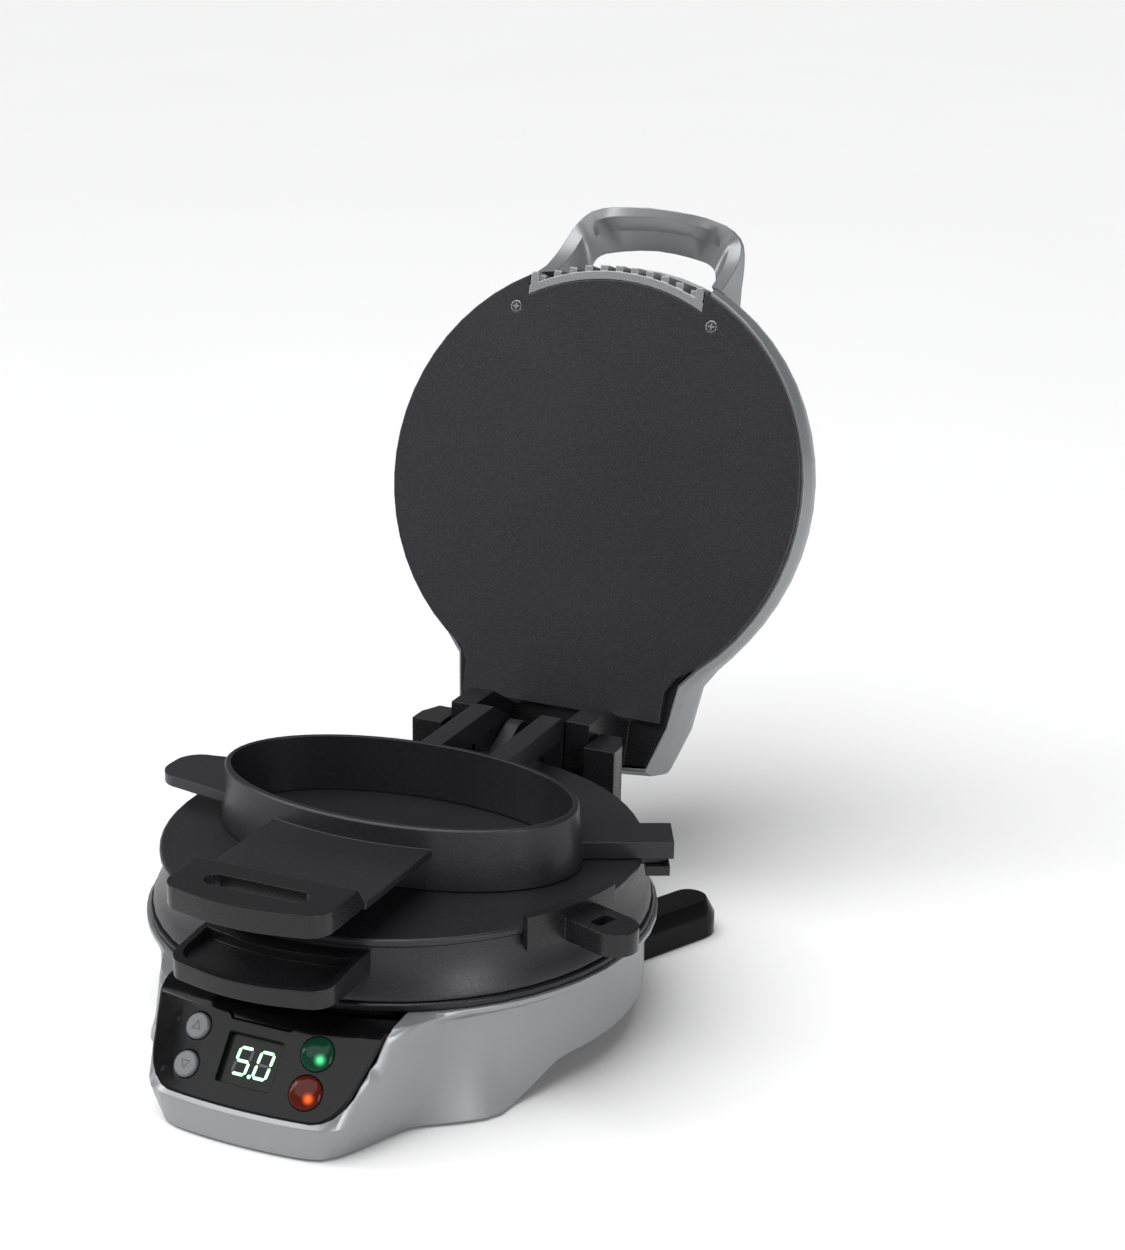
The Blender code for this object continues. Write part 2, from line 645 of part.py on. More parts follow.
def prism(name, outline, low, high, axis="Z"):
    """An outline in two axes, in order, extruded between two levels along the third."""
    order = {"X": (2, 0, 1), "Y": (0, 2, 1), "Z": (0, 1, 2)}[axis]

    def ring(level):
        return [tuple(np.array((u, v, level))[list(order)]) for u, v in outline]

    return lofted(name, [ring(low), ring(high)])


def box(name, low, high):
    """A box between two corners."""
    outline = [(low[0], low[1]), (high[0], low[1]), (high[0], high[1]), (low[0], high[1])]
    return prism(name, outline, low[2], high[2])


def arc(centre, radius, start, end, steps):
    """Points along an arc, ends included."""
    return [
        (centre[0] + radius * cos(a), centre[1] + radius * sin(a))
        for a in np.linspace(start, end, steps + 1)
    ]


def circle(centre, radius, steps=SMALL_STEPS):
    """Points round a full circle."""
    return arc(centre, radius, 0, 2 * pi, steps)[:-1]


def rounded_box_outline(width, height, radius, steps=CORNER_STEPS):
    """A rectangle about the origin with round corners."""
    points = []
    for k, (side, rise) in enumerate(((1, 1), (-1, 1), (-1, -1), (1, -1))):
        corner = (side * (width / 2 - radius), rise * (height / 2 - radius))
        points += arc(corner, radius, k * pi / 2, (k + 1) * pi / 2, steps)
    return points


def hull(points):
    """The convex outline round a set of points, by the monotone chain method."""
    points = sorted(set(points))

    def half(row):
        chain = []
        for point in row:
            while len(chain) > 1 and turn_of(chain[-2], chain[-1], point) <= 0:
                chain.pop()
            chain.append(point)
        return chain[:-1]

    return half(points) + half(points[::-1])


def turn_of(a, b, c):
    """Positive where the path a, b, c turns left."""
    return (b[0] - a[0]) * (c[1] - a[1]) - (b[1] - a[1]) * (c[0] - a[0])


def stadium(start, end, radius, steps=SMALL_STEPS):
    """The outline of a slot or leg with round ends."""
    return hull(circle(start, radius, 2 * steps) + circle(end, radius, 2 * steps))


def moved(outline, shift):
    """An outline shifted in its plane."""
    return [(u + shift[0], v + shift[1]) for u, v in outline]


def boolean(obj, other, operation):
    """Adds an exact Boolean between a piece and a hidden helper."""
    modifier = obj.modifiers.new(operation.lower() + "_" + other.name, "BOOLEAN")
    modifier.operation = operation
    modifier.object = other
    modifier.solver = "EXACT"


def helper(obj, mesh, place=None):
    """A hidden mesh that belongs to a piece's body, placed in the shut frame."""
    made = bpy.data.objects.new(mesh.name, mesh)
    bpy.context.scene.collection.objects.link(made)
    made.parent = obj.parent
    made.matrix_local = Matrix.Translation(-Vector(obj["body_origin"])) @ (place or Matrix.Identity(4))
    made.hide_render = True
    made.display_type = "WIRE"
    return made


def cut(obj, mesh, place=None):
    """Cuts a mesh out of a piece."""
    boolean(obj, helper(obj, mesh, place), "DIFFERENCE")


def join(obj, mesh, place=None):
    """Joins a mesh to a piece."""
    boolean(obj, helper(obj, mesh, place), "UNION")


def body_of(carrier=None, origin=Vector((0, 0, 0))):
    """A moving body: the empty that carries it and where that empty stands in the shut pose."""
    return {"carrier": carrier, "origin": origin}


def smooth_step(value, start, end):
    """0 before start, 1 after end, and an even curve between."""
    share = min(max((value - start) / (end - start), 0), 1)
    return share * share * (3 - 2 * share)


def smooth_most(a, b, blend):
    """The larger of two lengths, with a fillet where they cross."""
    return (a + b + sqrt((a - b) ** 2 + blend**2)) / 2


def smooth_least(a, b, power):
    """The smaller of two lengths, with a rounded corner where they cross."""
    low = min(a, b)
    return low * ((low / a) ** power + (low / b) ** power) ** (-1 / power)


def nose_sizes(z):
    """The nose's front reach, front radius and side intercept at a height."""
    chin_reach = NOSE_TOP_REACH + PANEL_SLOPE_SHARE * (NOSE_TOP_Z - NOSE_CHIN_Z)
    heights = (-FOOT_SKIRT, NOSE_CHIN_Z, NOSE_TOP_Z, BODY_TOP - NOSE_SHOULDER_DROP, BODY_TOP)
    reaches = (NOSE_FOOT_REACH, chin_reach, NOSE_TOP_REACH, NOSE_SHOULDER_REACH, BODY_RADIUS)
    reach = np.interp(z, heights, reaches)
    front = np.interp(z, heights[2:], (NOSE_FRONT_RADIUS, NOSE_FRONT_RADIUS, BODY_RADIUS))
    side = np.interp(z, heights[:2], (NOSE_FOOT_SIDE_INTERCEPT, NOSE_SIDE_INTERCEPT))
    return reach, front, side


def drum_radius_at(direction, z):
    """The round body's radius: a waist under an outward lip, flared at the front towards the foot skirt."""
    lip_foot = BODY_TOP - BODY_LIP_HEIGHT
    radius = np.interp(z, (lip_foot - BODY_LIP_UNDERCUT, lip_foot), (WAIST_RADIUS, BODY_RADIUS))
    depth = min(max((FOOT_FLARE_TOP - z) / (FOOT_FLARE_TOP + FOOT_SKIRT), 0), 1)
    end = FLARE_END_HIGH + (FLARE_END_LOW - FLARE_END_HIGH) * depth
    inside = 1 - smooth_step(abs(direction), end - FLARE_BLEND, end + FLARE_BLEND)
    return radius + (FOOT_RADIUS - WAIST_RADIUS) * depth * inside


def body_radius_at(direction, z):
    """The body's outer radius in a direction round from the front, at a height."""
    reach, front, side = nose_sizes(z)
    body = drum_radius_at(direction, z)
    around = abs(direction)
    if around >= pi / 2:
        return body
    offset = reach - front
    front_line = offset * cos(around) + sqrt(front**2 - (offset * sin(around)) ** 2)
    side_line = side / (sin(around) + NOSE_TAPER_SHARE * cos(around))
    nose = smooth_least(front_line, side_line, NOSE_CORNER_POWER)
    if nose < body - BODY_CREASE_BLEND:
        return body
    return smooth_most(body, nose - BODY_CREASE_BLEND / 2, BODY_CREASE_BLEND)


def nose_front_y(x, z):
    """Y of the nose's front face at a width and a height."""
    reach, front, _ = nose_sizes(z)
    return -(reach - front) - sqrt(front**2 - x**2)


def body_edge_z(direction):
    """Height of the body's lower edge in a direction round from the front."""
    around = abs(direction)
    arch = smooth_step(around, FRONT_FOOT_END, ARCH_START)
    low = -FOOT_SKIRT + (FOOT_SKIRT - ARCH_DROP) * arch
    low += ARCH_DROP * smooth_step(around, ARCH_END, REAR_EDGE_START)
    return low + (COVER_THICKNESS + GAP) * smooth_step(around, TOWER_EDGE_START, TOWER_EDGE_END)


def polar(direction, radius, z):
    """The point at a direction round from the front, a radius and a height."""
    return (radius * sin(direction), -radius * cos(direction), z)


def directions():
    """Directions round from the front for the body: close together at the nose, wider apart behind."""
    half = list(np.arange(0, NOSE_SPAN, NOSE_STEP))
    half += list(np.arange(SIDE_START, SIDE_END, SIDE_STEP))
    half += list(np.linspace(REAR_START, pi, REAR_STEPS))
    return [-d for d in half[:0:-1]][1:] + half


def even_directions():
    """Directions round from the front for the lid, evenly spaced."""
    return [2 * pi * k / LID_STEPS - pi for k in range(LID_STEPS)]


def build_housing(base):
    """The silver body: a thin wall lofted between the foot outline and the round rim."""
    shoulder_z = BODY_TOP - NOSE_SHOULDER_DROP
    lip_foot = BODY_TOP - BODY_LIP_HEIGHT

    def levels(direction):
        edge = body_edge_z(direction)
        second = max(NOSE_CHIN_Z, edge + BODY_WALL)
        waist = lip_foot - BODY_LIP_UNDERCUT
        return (edge, second, (second + waist) / 2, waist, NOSE_TOP_Z, lip_foot, shoulder_z, BODY_TOP)

    def wall(k, inset):
        rows = [(d, levels(d)[k]) for d in directions()]
        return [polar(d, body_radius_at(d, z) - inset, z) for d, z in rows]

    rings = [wall(k, 0) for k in range(8)] + [wall(k, BODY_WALL) for k in (7, 3, 1, 0)]
    housing = add_object("base_housing", lofted("base_housing", rings, caps=False), SILVER, base)
    for side in (-1, 1):
        for direction in (BOSS_DIRECTION, pi - BOSS_DIRECTION):
            centre = polar(side * direction, BOSS_DISTANCE, 0)[:2]
            low = COVER_THICKNESS + GAP
            join(housing, prism("housing_boss", circle(centre, BOSS_RADIUS), low, low + BOSS_HEIGHT))
            bore = circle(centre, SCREW_RADIUS + GAP)
            cut(housing, prism("housing_boss_bore", bore, low - OVERRUN, low + BOSS_HEIGHT - OVERRUN / 2))
    cut(housing, panel_mesh("panel_opening", GAP, OVERRUN, 2 * OVERRUN, OVERRUN))
    return housing


def panel_half_width(z, margin):
    """Half the panel's width at a height, with its lower corners rounded."""
    share = (z - PANEL_BOTTOM_Z) / (BODY_TOP - PANEL_BOTTOM_Z)
    half = PANEL_BOTTOM_HALF_WIDTH + share * (PANEL_TOP_HALF_WIDTH - PANEL_BOTTOM_HALF_WIDTH)
    above = min(max(z - PANEL_BOTTOM_Z, 0), PANEL_CORNER_RADIUS)
    fall = PANEL_CORNER_RADIUS - above
    return half - (PANEL_CORNER_RADIUS - sqrt(PANEL_CORNER_RADIUS**2 - fall**2)) + margin


def panel_mesh(name, margin, proud, depth, above):
    """A slab that follows the nose's front: proud of it by one length and as deep behind it as another."""
    corner_rows = [PANEL_BOTTOM_Z + PANEL_CORNER_RADIUS * (1 - cos(a)) for a in np.linspace(0, pi / 2, 5)]
    shoulder_z = BODY_TOP - NOSE_SHOULDER_DROP
    heights = corner_rows + [NOSE_TOP_Z - GAP, NOSE_TOP_Z + GAP, shoulder_z, BODY_TOP - GAP * (margin == 0)]
    normal = Vector((0, -cos(pi / 2 - PANEL_ANGLE), sin(pi / 2 - PANEL_ANGLE)))

    def sheet(offset, lift):
        rows = []
        for k, z in enumerate(heights):
            half = panel_half_width(z, margin)
            drop = margin if k == 0 else 0
            rise = lift if k == len(heights) - 1 else 0
            row = []
            for x in np.linspace(-half, half, PANEL_COLUMNS + 1):
                point = Vector((x, nose_front_y(x, z), z - drop + rise)) + normal * offset
                row.append(point)
            rows.append(row)
        return rows

    front = sheet(proud, above)
    back = sheet(-depth, above)
    shape = bmesh.new()
    made = [[[shape.verts.new(p) for p in row] for row in rows] for rows in (front, back)]
    last = len(heights) - 1
    for i in range(last):
        for j in range(PANEL_COLUMNS):
            for rows in made:
                shape.faces.new((rows[i][j], rows[i][j + 1], rows[i + 1][j + 1], rows[i + 1][j]))
        for j in (0, PANEL_COLUMNS):
            shape.faces.new((made[0][i][j], made[0][i + 1][j], made[1][i + 1][j], made[1][i][j]))
    for j in range(PANEL_COLUMNS):
        for i in (0, last):
            shape.faces.new((made[0][i][j], made[0][i][j + 1], made[1][i][j + 1], made[1][i][j]))
    return finish_mesh(name, shape)


def panel_place(x, z, depth=0.0):
    """The frame on the panel's face at a width and a height: local Z points out of the face."""
    facing = asin(x / NOSE_FRONT_RADIUS)
    turn = Matrix.Rotation(PANEL_ANGLE, 4, "X") @ Matrix.Rotation(facing, 4, "Y")
    foot = Vector((x, nose_front_y(x, z), z))
    return Matrix.Translation(foot) @ turn @ Matrix.Translation((0, 0, -depth))


def behind_panel(half_width):
    """Depth under the panel's face where something flat of a half width clears the panel's curved back."""
    return PANEL_INSET + PANEL_THICKNESS + GAP + half_width**2 / (2 * NOSE_FRONT_RADIUS)


def build_panel(base):
    """The glossy black control panel with its window, lenses, posts and the fixed pieces behind it."""
    slab = panel_mesh("control_panel", 0, -PANEL_INSET, PANEL_THICKNESS + PANEL_INSET, 0)
    panel = add_object("control_panel", slab, GLOSS_BLACK, base)
    for z in (BUTTON_UPPER_Z, BUTTON_LOWER_Z):
        hole = circle((0, 0), BUTTON_RADIUS + GAP, 2 * SMALL_STEPS)
        cut(panel, prism("button_hole", hole, -OVERRUN - PANEL_THICKNESS, OVERRUN), panel_place(-BUTTON_X, z))
        hole = circle((0, 0), LENS_RADIUS + GAP, 2 * SMALL_STEPS)
        cut(panel, prism("lens_hole", hole, -OVERRUN - PANEL_THICKNESS, OVERRUN), panel_place(BUTTON_X, z))
    window = rounded_box_outline(WINDOW_WIDTH, WINDOW_HEIGHT, WINDOW_MARGIN)
    cut(panel, prism("window_hole", window, -OVERRUN - PANEL_THICKNESS, OVERRUN), panel_place(0, DISPLAY_Z))
    recess_height = 2 * (BODY_TOP - RECESS_BOTTOM_Z) / sin(PANEL_ANGLE)
    recess = [
        (-RECESS_BOTTOM_HALF_WIDTH, 0),
        (RECESS_BOTTOM_HALF_WIDTH, 0),
        (2 * RECESS_TOP_HALF_WIDTH - RECESS_BOTTOM_HALF_WIDTH, recess_height),
        (RECESS_BOTTOM_HALF_WIDTH - 2 * RECESS_TOP_HALF_WIDTH, recess_height),
    ]
    recess_floor = -RECESS_DEPTH - PANEL_INSET
    cut(panel, prism("recess", recess, recess_floor, 2 * OVERRUN), panel_place(0, RECESS_BOTTOM_Z))
    for side in (-1, 1):
        for rise in (-1, 1):
            post = circle((side * PANEL_POST_X, rise * PANEL_POST_RISE), PANEL_POST_RADIUS)
            deep = -BOARD_DEPTH + GAP
            root = -PANEL_THICKNESS - PANEL_INSET
            join(panel, prism("panel_post", post, deep, root), panel_place(0, DISPLAY_Z))
    slab_size = (WINDOW_WIDTH + 2 * WINDOW_MARGIN, WINDOW_HEIGHT + 2 * WINDOW_MARGIN)
    slab = rounded_box_outline(*slab_size, WINDOW_MARGIN)
    behind = behind_panel(WINDOW_WIDTH / 2 + WINDOW_MARGIN)
    add_object(
        "display_window", prism("display_window", slab, -behind - WINDOW_THICKNESS, -behind), SMOKED, base,
        panel_place(0, DISPLAY_Z), smooth=False,
    )
    digits = rounded_box_outline(WINDOW_WIDTH, WINDOW_HEIGHT, DIGIT_BLOCK_MARGIN)
    front = behind + WINDOW_THICKNESS + GAP
    add_object(
        "digit_display", prism("digit_display", digits, -BOARD_DEPTH + GAP, -front), SMOKED, base,
        panel_place(0, DISPLAY_Z), smooth=False,
    )
    board = rounded_box_outline(BOARD_WIDTH, BOARD_HEIGHT, WINDOW_MARGIN)
    board = prism("control_board", board, -BOARD_DEPTH - BOARD_THICKNESS, -BOARD_DEPTH)
    add_object("control_board", board, BOARD_GREEN, base, panel_place(0, DISPLAY_Z), smooth=False)
    for name, z, spec in (("green", BUTTON_UPPER_Z, GREEN_LENS), ("red", BUTTON_LOWER_Z, RED_LENS)):
        build_lens(base, name, z, spec)


def board_gap(x, z):
    """How deep the control board's face lies under the panel's face at a width and a height."""
    middle = panel_place(0, DISPLAY_Z, BOARD_DEPTH)
    foot = middle.inverted() @ panel_place(x, z).translation
    return foot.z


def build_lens(base, name, z, spec):
    """A domed indicator lens with a flange behind the panel, and its LED on the board."""
    behind = behind_panel(LENS_RADIUS + LENS_FLANGE)
    crown = [(LENS_RADIUS * cos(a), LENS_PROUD * sin(a)) for a in np.linspace(0, pi / 2, 4)]
    profile = [(0, -behind - GAP), (LENS_RADIUS - WINDOW_MARGIN, -behind - GAP)]
    profile += [(LENS_RADIUS - WINDOW_MARGIN, -behind - BUTTON_FLANGE_THICKNESS)]
    flange = LENS_RADIUS + LENS_FLANGE
    profile += [(flange, -behind - BUTTON_FLANGE_THICKNESS), (flange, -behind), (LENS_RADIUS, -behind)]
    profile += crown[:-1] + [(0, LENS_PROUD)]
    lens = turned(name + "_lens", profile, 2 * SMALL_STEPS)
    add_object(name + "_lens", lens, spec, base, panel_place(BUTTON_X, z))
    deep = board_gap(BUTTON_X, z)
    top = behind + BUTTON_FLANGE_THICKNESS
    led = [(0, -deep + GAP), (LED_RADIUS, -deep + GAP), (LED_RADIUS, -top - GAP), (0, -top - GAP)]
    led = turned(name + "_led", led, SMALL_STEPS)
    add_object(name + "_led", led, LED_EPOXY, base, panel_place(BUTTON_X, z))


def build_buttons(bodies):
    """The two grey time buttons, each in its own sliding body, and the switches under them."""
    flange = BUTTON_RADIUS + BUTTON_FLANGE
    behind = behind_panel(flange)
    for name, z in (("up", BUTTON_UPPER_Z), ("down", BUTTON_LOWER_Z)):
        deep = board_gap(-BUTTON_X, z)
        switch_top = deep - GAP - SWITCH_HEIGHT
        stem = LED_RADIUS
        profile = [(0, BUTTON_TRAVEL + GAP - switch_top), (stem, BUTTON_TRAVEL + GAP - switch_top)]
        profile += [(stem, -behind - BUTTON_FLANGE_THICKNESS), (flange, -behind - BUTTON_FLANGE_THICKNESS)]
        profile += [(flange, -behind), (BUTTON_RADIUS, -behind), (BUTTON_RADIUS, BUTTON_PROUD - EDGE_ROUND)]
        profile += [(BUTTON_RADIUS - EDGE_ROUND, BUTTON_PROUD), (0, BUTTON_PROUD)]
        button = turned(name + "_button", profile, 2 * SMALL_STEPS)
        add_object(name + "_button", button, BUTTON_GREY, bodies["button_" + name])
        switch = rounded_box_outline(SWITCH_SIDE, SWITCH_SIDE, EDGE_ROUND, 2)
        block = prism(name + "_switch", switch, -deep + GAP, -switch_top)
        add_object(name + "_switch", block, BLACK, bodies["base"], panel_place(-BUTTON_X, z), smooth=False)


def cover_outline():
    """The bottom cover's round outline, inside the body's wall."""
    return [polar(d, WAIST_RADIUS - BODY_WALL - GAP, 0)[:2] for d in directions()]


def build_covers(base):
    """The bottom cover with its rear shelf, the front cover in the foot skirt, and their feet and screws."""
    cover = prism("bottom_cover", cover_outline(), 0, COVER_THICKNESS)
    cover = add_object("bottom_cover", cover, BLACK, base)
    pad_edge, groove_edge = COVER_PAD_RADIUS, COVER_PAD_RADIUS + COVER_GROOVE_WIDTH
    groove = [(pad_edge, -OVERRUN), (groove_edge, -OVERRUN)]
    groove += [(groove_edge, COVER_GROOVE_DEPTH), (pad_edge, COVER_GROOVE_DEPTH)]
    cut(cover, turned("pad_groove", groove, MEDIUM_STEPS))
    shelf_low = (-REAR_SHELF_HALF_WIDTH, LEG_ROOT_Y, 0)
    shelf_high = (REAR_SHELF_HALF_WIDTH, REAR_SHELF_REACH, COVER_THICKNESS)
    join(cover, box("rear_shelf", shelf_low, shelf_high))
    for x in (-1, 1):
        for y in (-1, 1):
            centre = standoff_place(x, y)
            top = COVER_THICKNESS + POWER_BOARD_LIFT
            join(cover, prism("standoff", circle(centre, STANDOFF_RADIUS), COVER_THICKNESS - OVERLAP, top))
    skirt = [d for d in directions() if abs(d) < FRONT_FOOT_END - COVER_END_TURN]
    level = -FOOT_SKIRT + FRONT_COVER_RISE
    top = level + FRONT_COVER_THICKNESS
    radii = [min(body_radius_at(d, level), body_radius_at(d, top)) for d in skirt]
    outline = [polar(d, r - BODY_WALL - 2 * GAP, 0)[:2] for d, r in zip(skirt, radii)]
    outline = [(x, y) for x, y in outline if y < -FRONT_COVER_BACK]
    right, left = outline[-1], outline[0]
    outline += [(right[0], -FRONT_COVER_BACK), (left[0], -FRONT_COVER_BACK)]
    front = add_object("front_cover", prism("front_cover", outline, level, top), BLACK, base)
    for side in (-1, 1):
        centre = (side * FRONT_POST_X, FRONT_POST_Y)
        join(front, prism("front_post", circle(centre, FRONT_POST_RADIUS), top - OVERLAP, -GAP))
        for piece in (front, cover):
            bore = circle(centre, SCREW_RADIUS + GAP)
            cut(piece, prism("front_screw_bore", bore, level - OVERRUN, COVER_THICKNESS + OVERRUN))
        name = "front_screw_" + ("left" if side < 0 else "right")
        add_screw(name, base, centre, level - GAP, COVER_THICKNESS + OVERRUN / 2)
        direction = side * BOSS_DIRECTION
        for place, around in (("front", direction), ("rear", side * (pi - BOSS_DIRECTION))):
            centre = polar(around, BOSS_DISTANCE, 0)[:2]
            bore = circle(centre, SCREW_RADIUS + GAP)
            cut(cover, prism("cover_bore", bore, -OVERRUN, COVER_THICKNESS + OVERRUN))
            name = "cover_screw_" + place + ("_left" if side < 0 else "_right")
            add_screw(name, base, centre, -GAP, COVER_THICKNESS + BOSS_HEIGHT / 2)
    build_feet(base, level)
    build_legs(base)


def add_screw(name, body, centre, seat, tip, place=None):
    """A pan-head screw that points up from its seat."""
    profile = [(0, seat - SCREW_HEAD_HEIGHT), (SCREW_HEAD_RADIUS, seat - SCREW_HEAD_HEIGHT)]
    profile += [(SCREW_HEAD_RADIUS, seat)]
    profile += [(SCREW_RADIUS, seat), (SCREW_RADIUS, tip), (0, tip)]
    shift = Matrix.Translation((centre[0], centre[1], 0))
    add_object(name, turned(name, profile, SMALL_STEPS), STEEL, body, (place or Matrix.Identity(4)) @ shift)


def build_feet(base, seat):
    """Four rubber pads: two under the front cover and two under the legs."""
    for side, word in ((-1, "left"), (1, "right")):
        pads = (("front", (side * FRONT_FOOT_X, FRONT_FOOT_Y), seat - GAP),)
        pads += (("rear", (side * LEG_END_X, LEG_END_Y), -FOOT_SKIRT - GAP),)
        for place, centre, top in pads:
            name = f"foot_{place}_{word}"
            profile = [(0, -TABLE_DROP), (FOOT_PAD_RADIUS - EDGE_ROUND, -TABLE_DROP)]
            profile += [(FOOT_PAD_RADIUS, -TABLE_DROP + EDGE_ROUND), (FOOT_PAD_RADIUS, top), (0, top)]
            shift = Matrix.Translation((centre[0], centre[1], 0))
            add_object(name, turned(name, profile, 2 * SMALL_STEPS), RUBBER, base, shift)


def build_legs(base):
    """The glossy black rear legs, wedges with round ends that reach out behind the body."""
    for side, word in ((-1, "left"), (1, "right")):
        start, end = (side * LEG_ROOT_X, LEG_ROOT_Y), (side * LEG_END_X, LEG_END_Y)
        levels = (
            (-TABLE_DROP + LEG_TABLE_GAP, LEG_RADIUS),
            (-FOOT_SKIRT + LEG_SIDE_HEIGHT, LEG_RADIUS),
            (-2 * GAP, LEG_RADIUS - LEG_TOP_INSET),
            (-GAP, LEG_RADIUS - LEG_TOP_INSET - GAP),
        )
        rings = [[(x, y, z) for x, y in leg_outline(start, end, radius)] for z, radius in levels]
        leg = add_object("rear_leg_" + word, lofted("rear_leg_" + word, rings), GLOSS_BLACK, base)
        pocket = circle(end, FOOT_PAD_RADIUS + GAP, 2 * SMALL_STEPS)
        cut(leg, prism("foot_pocket", pocket, -TABLE_DROP - OVERRUN, -FOOT_SKIRT))


def leg_outline(start, end, radius):
    """A leg's outline with the same count of points at every level."""
    along = atan2(end[1] - start[1], end[0] - start[0])
    front = arc(end, radius, along - pi / 2, along + pi / 2, SMALL_STEPS)
    back = arc(start, radius, along + pi / 2, along + 3 * pi / 2, SMALL_STEPS)
    return front + back


def standoff_place(x, y):
    """The centre of one of the power board's standoffs."""
    inset = 2 * STANDOFF_RADIUS
    return (x * (POWER_BOARD_WIDTH / 2 - inset), POWER_BOARD_Y + y * (POWER_BOARD_DEPTH / 2 - inset))


def build_power_board(base):
    """The power board with its transformer and relay."""
    low = COVER_THICKNESS + POWER_BOARD_LIFT + GAP
    half_width, half_depth = POWER_BOARD_WIDTH / 2, POWER_BOARD_DEPTH / 2
    near = (-half_width, POWER_BOARD_Y - half_depth, low)
    far = (half_width, POWER_BOARD_Y + half_depth, low + BOARD_THICKNESS)
    board = add_object("power_board", box("power_board", near, far), BOARD_GREEN, base, smooth=False)
    parts = (
        (-COMPONENT_OFFSET, TRANSFORMER_WIDTH, TRANSFORMER_DEPTH, TRANSFORMER_HEIGHT),
        (COMPONENT_OFFSET, RELAY_WIDTH, RELAY_DEPTH, RELAY_HEIGHT),
    )
    for x, width, depth, height in parts:
        bottom = low + BOARD_THICKNESS - OVERLAP
        low_corner = (x - width / 2, POWER_BOARD_Y - depth / 2, bottom)
        high_corner = (x + width / 2, POWER_BOARD_Y + depth / 2, bottom + OVERLAP + height)
        join(board, box("component", low_corner, high_corner))


def build_deck(base):
    """The black deck on the body's rim, the lower heating plate and what heats it."""
    low = BODY_TOP + GAP
    skirt_outer = WAIST_RADIUS - BODY_WALL - 2 * GAP
    profile = [
        (DECK_HOLE_RADIUS, low),
        (skirt_outer - DECK_SKIRT_WALL, low),
        (skirt_outer - DECK_SKIRT_WALL, low - DECK_SKIRT_DEPTH),
        (skirt_outer, low - DECK_SKIRT_DEPTH),
        (skirt_outer, low),
        (DECK_RADIUS, low),
        (DECK_RADIUS, DECK_TOP - EDGE_ROUND),
        (DECK_RADIUS - EDGE_ROUND, DECK_TOP),
        (DECK_HOLE_RADIUS, DECK_TOP),
    ]
    add_object("base_deck", turned("base_deck", profile), BLACK, base)
    rim = HOT_PLATE_RADIUS - HOT_PLATE_RIM
    profile = [
        (0, HOT_PLATE_BOTTOM),
        (HOT_PLATE_RADIUS, HOT_PLATE_BOTTOM),
        (HOT_PLATE_RADIUS, HOT_PLATE_TOP - EDGE_ROUND),
        (HOT_PLATE_RADIUS - EDGE_ROUND, HOT_PLATE_TOP),
        (rim, HOT_PLATE_TOP),
        (rim - HOT_PLATE_DISH, HOT_PLATE_TOP - HOT_PLATE_DISH),
        (0, HOT_PLATE_TOP - HOT_PLATE_DISH),
    ]
    add_object("lower_heating_plate", turned("lower_heating_plate", profile), NONSTICK, base)
    build_element("lower_heating_element", base, HOT_PLATE_BOTTOM - GAP - ELEMENT_TUBE, -1)
    build_reflector("lower_heat_reflector", base, low - GAP, -1, DECK_HOLE_RADIUS)
    build_thermostat("lower_thermostat", base, HOT_PLATE_BOTTOM - GAP, -1)


def element_path():
    """The horseshoe's centre line, open towards the hinge."""
    turns = np.linspace(ELEMENT_OPENING / 2, 2 * pi - ELEMENT_OPENING / 2, MEDIUM_STEPS)
    return [(ELEMENT_RADIUS * sin(a), ELEMENT_RADIUS * cos(a)) for a in turns]


def build_element(name, body, z, way):
    """A horseshoe heating tube whose two tails turn away from the plate."""
    points = [(x, y, z) for x, y in element_path()]
    curve = bpy.data.curves.new(name, "CURVE")
    curve.dimensions = "3D"
    spline = curve.splines.new("POLY")
    spline.points.add(len(points) - 1)
    for knot, point in zip(spline.points, points):
        knot.co = (*point, 1)
    curve.bevel_depth = ELEMENT_TUBE
    curve.bevel_resolution = 1
    curve.use_fill_caps = True
    source = bpy.data.objects.new(name + "_path", curve)
    bpy.context.scene.collection.objects.link(source)
    mesh = bpy.data.meshes.new_from_object(source.evaluated_get(bpy.context.evaluated_depsgraph_get()))
    bpy.data.objects.remove(source)
    shape = bmesh.new()
    shape.from_mesh(mesh)
    mesh = finish_mesh(name, shape)
    element = add_object(name, mesh, STEEL, body)
    for point in (points[0], points[-1]):
        low, high = sorted((z, z + way * ELEMENT_TAIL))
        tail = prism("element_tail", circle(point[:2], ELEMENT_TAIL_RADIUS), low, high)
        join(element, tail)


def build_reflector(name, body, seat, way, hole):
    """A dished sheet that hangs by its brim from the deck or the lid frame."""
    brim = hole + REFLECTOR_BRIM
    throat = hole - REFLECTOR_BRIM
    sheet = way * REFLECTOR_THICKNESS
    profile = [
        (REFLECTOR_HOLE, seat + way * REFLECTOR_DEPTH),
        (throat, seat + way * REFLECTOR_DEPTH),
        (hole - GAP, seat),
        (brim, seat),
        (brim, seat + sheet),
        (hole - GAP, seat + sheet),
        (throat, seat + way * REFLECTOR_DEPTH + sheet),
        (REFLECTOR_HOLE, seat + way * REFLECTOR_DEPTH + sheet),
    ]
    dish = add_object(name, turned(name, profile, MEDIUM_STEPS), TIN, body)
    far = sorted((seat + way * REFLECTOR_DEPTH - way * OVERRUN, seat + way * REFLECTOR_DEPTH + way * OVERRUN))
    for point in (element_path()[0], element_path()[-1]):
        cut(dish, prism("tail_hole", circle(point, ELEMENT_TAIL_RADIUS + RUNNING_GAP), *far))


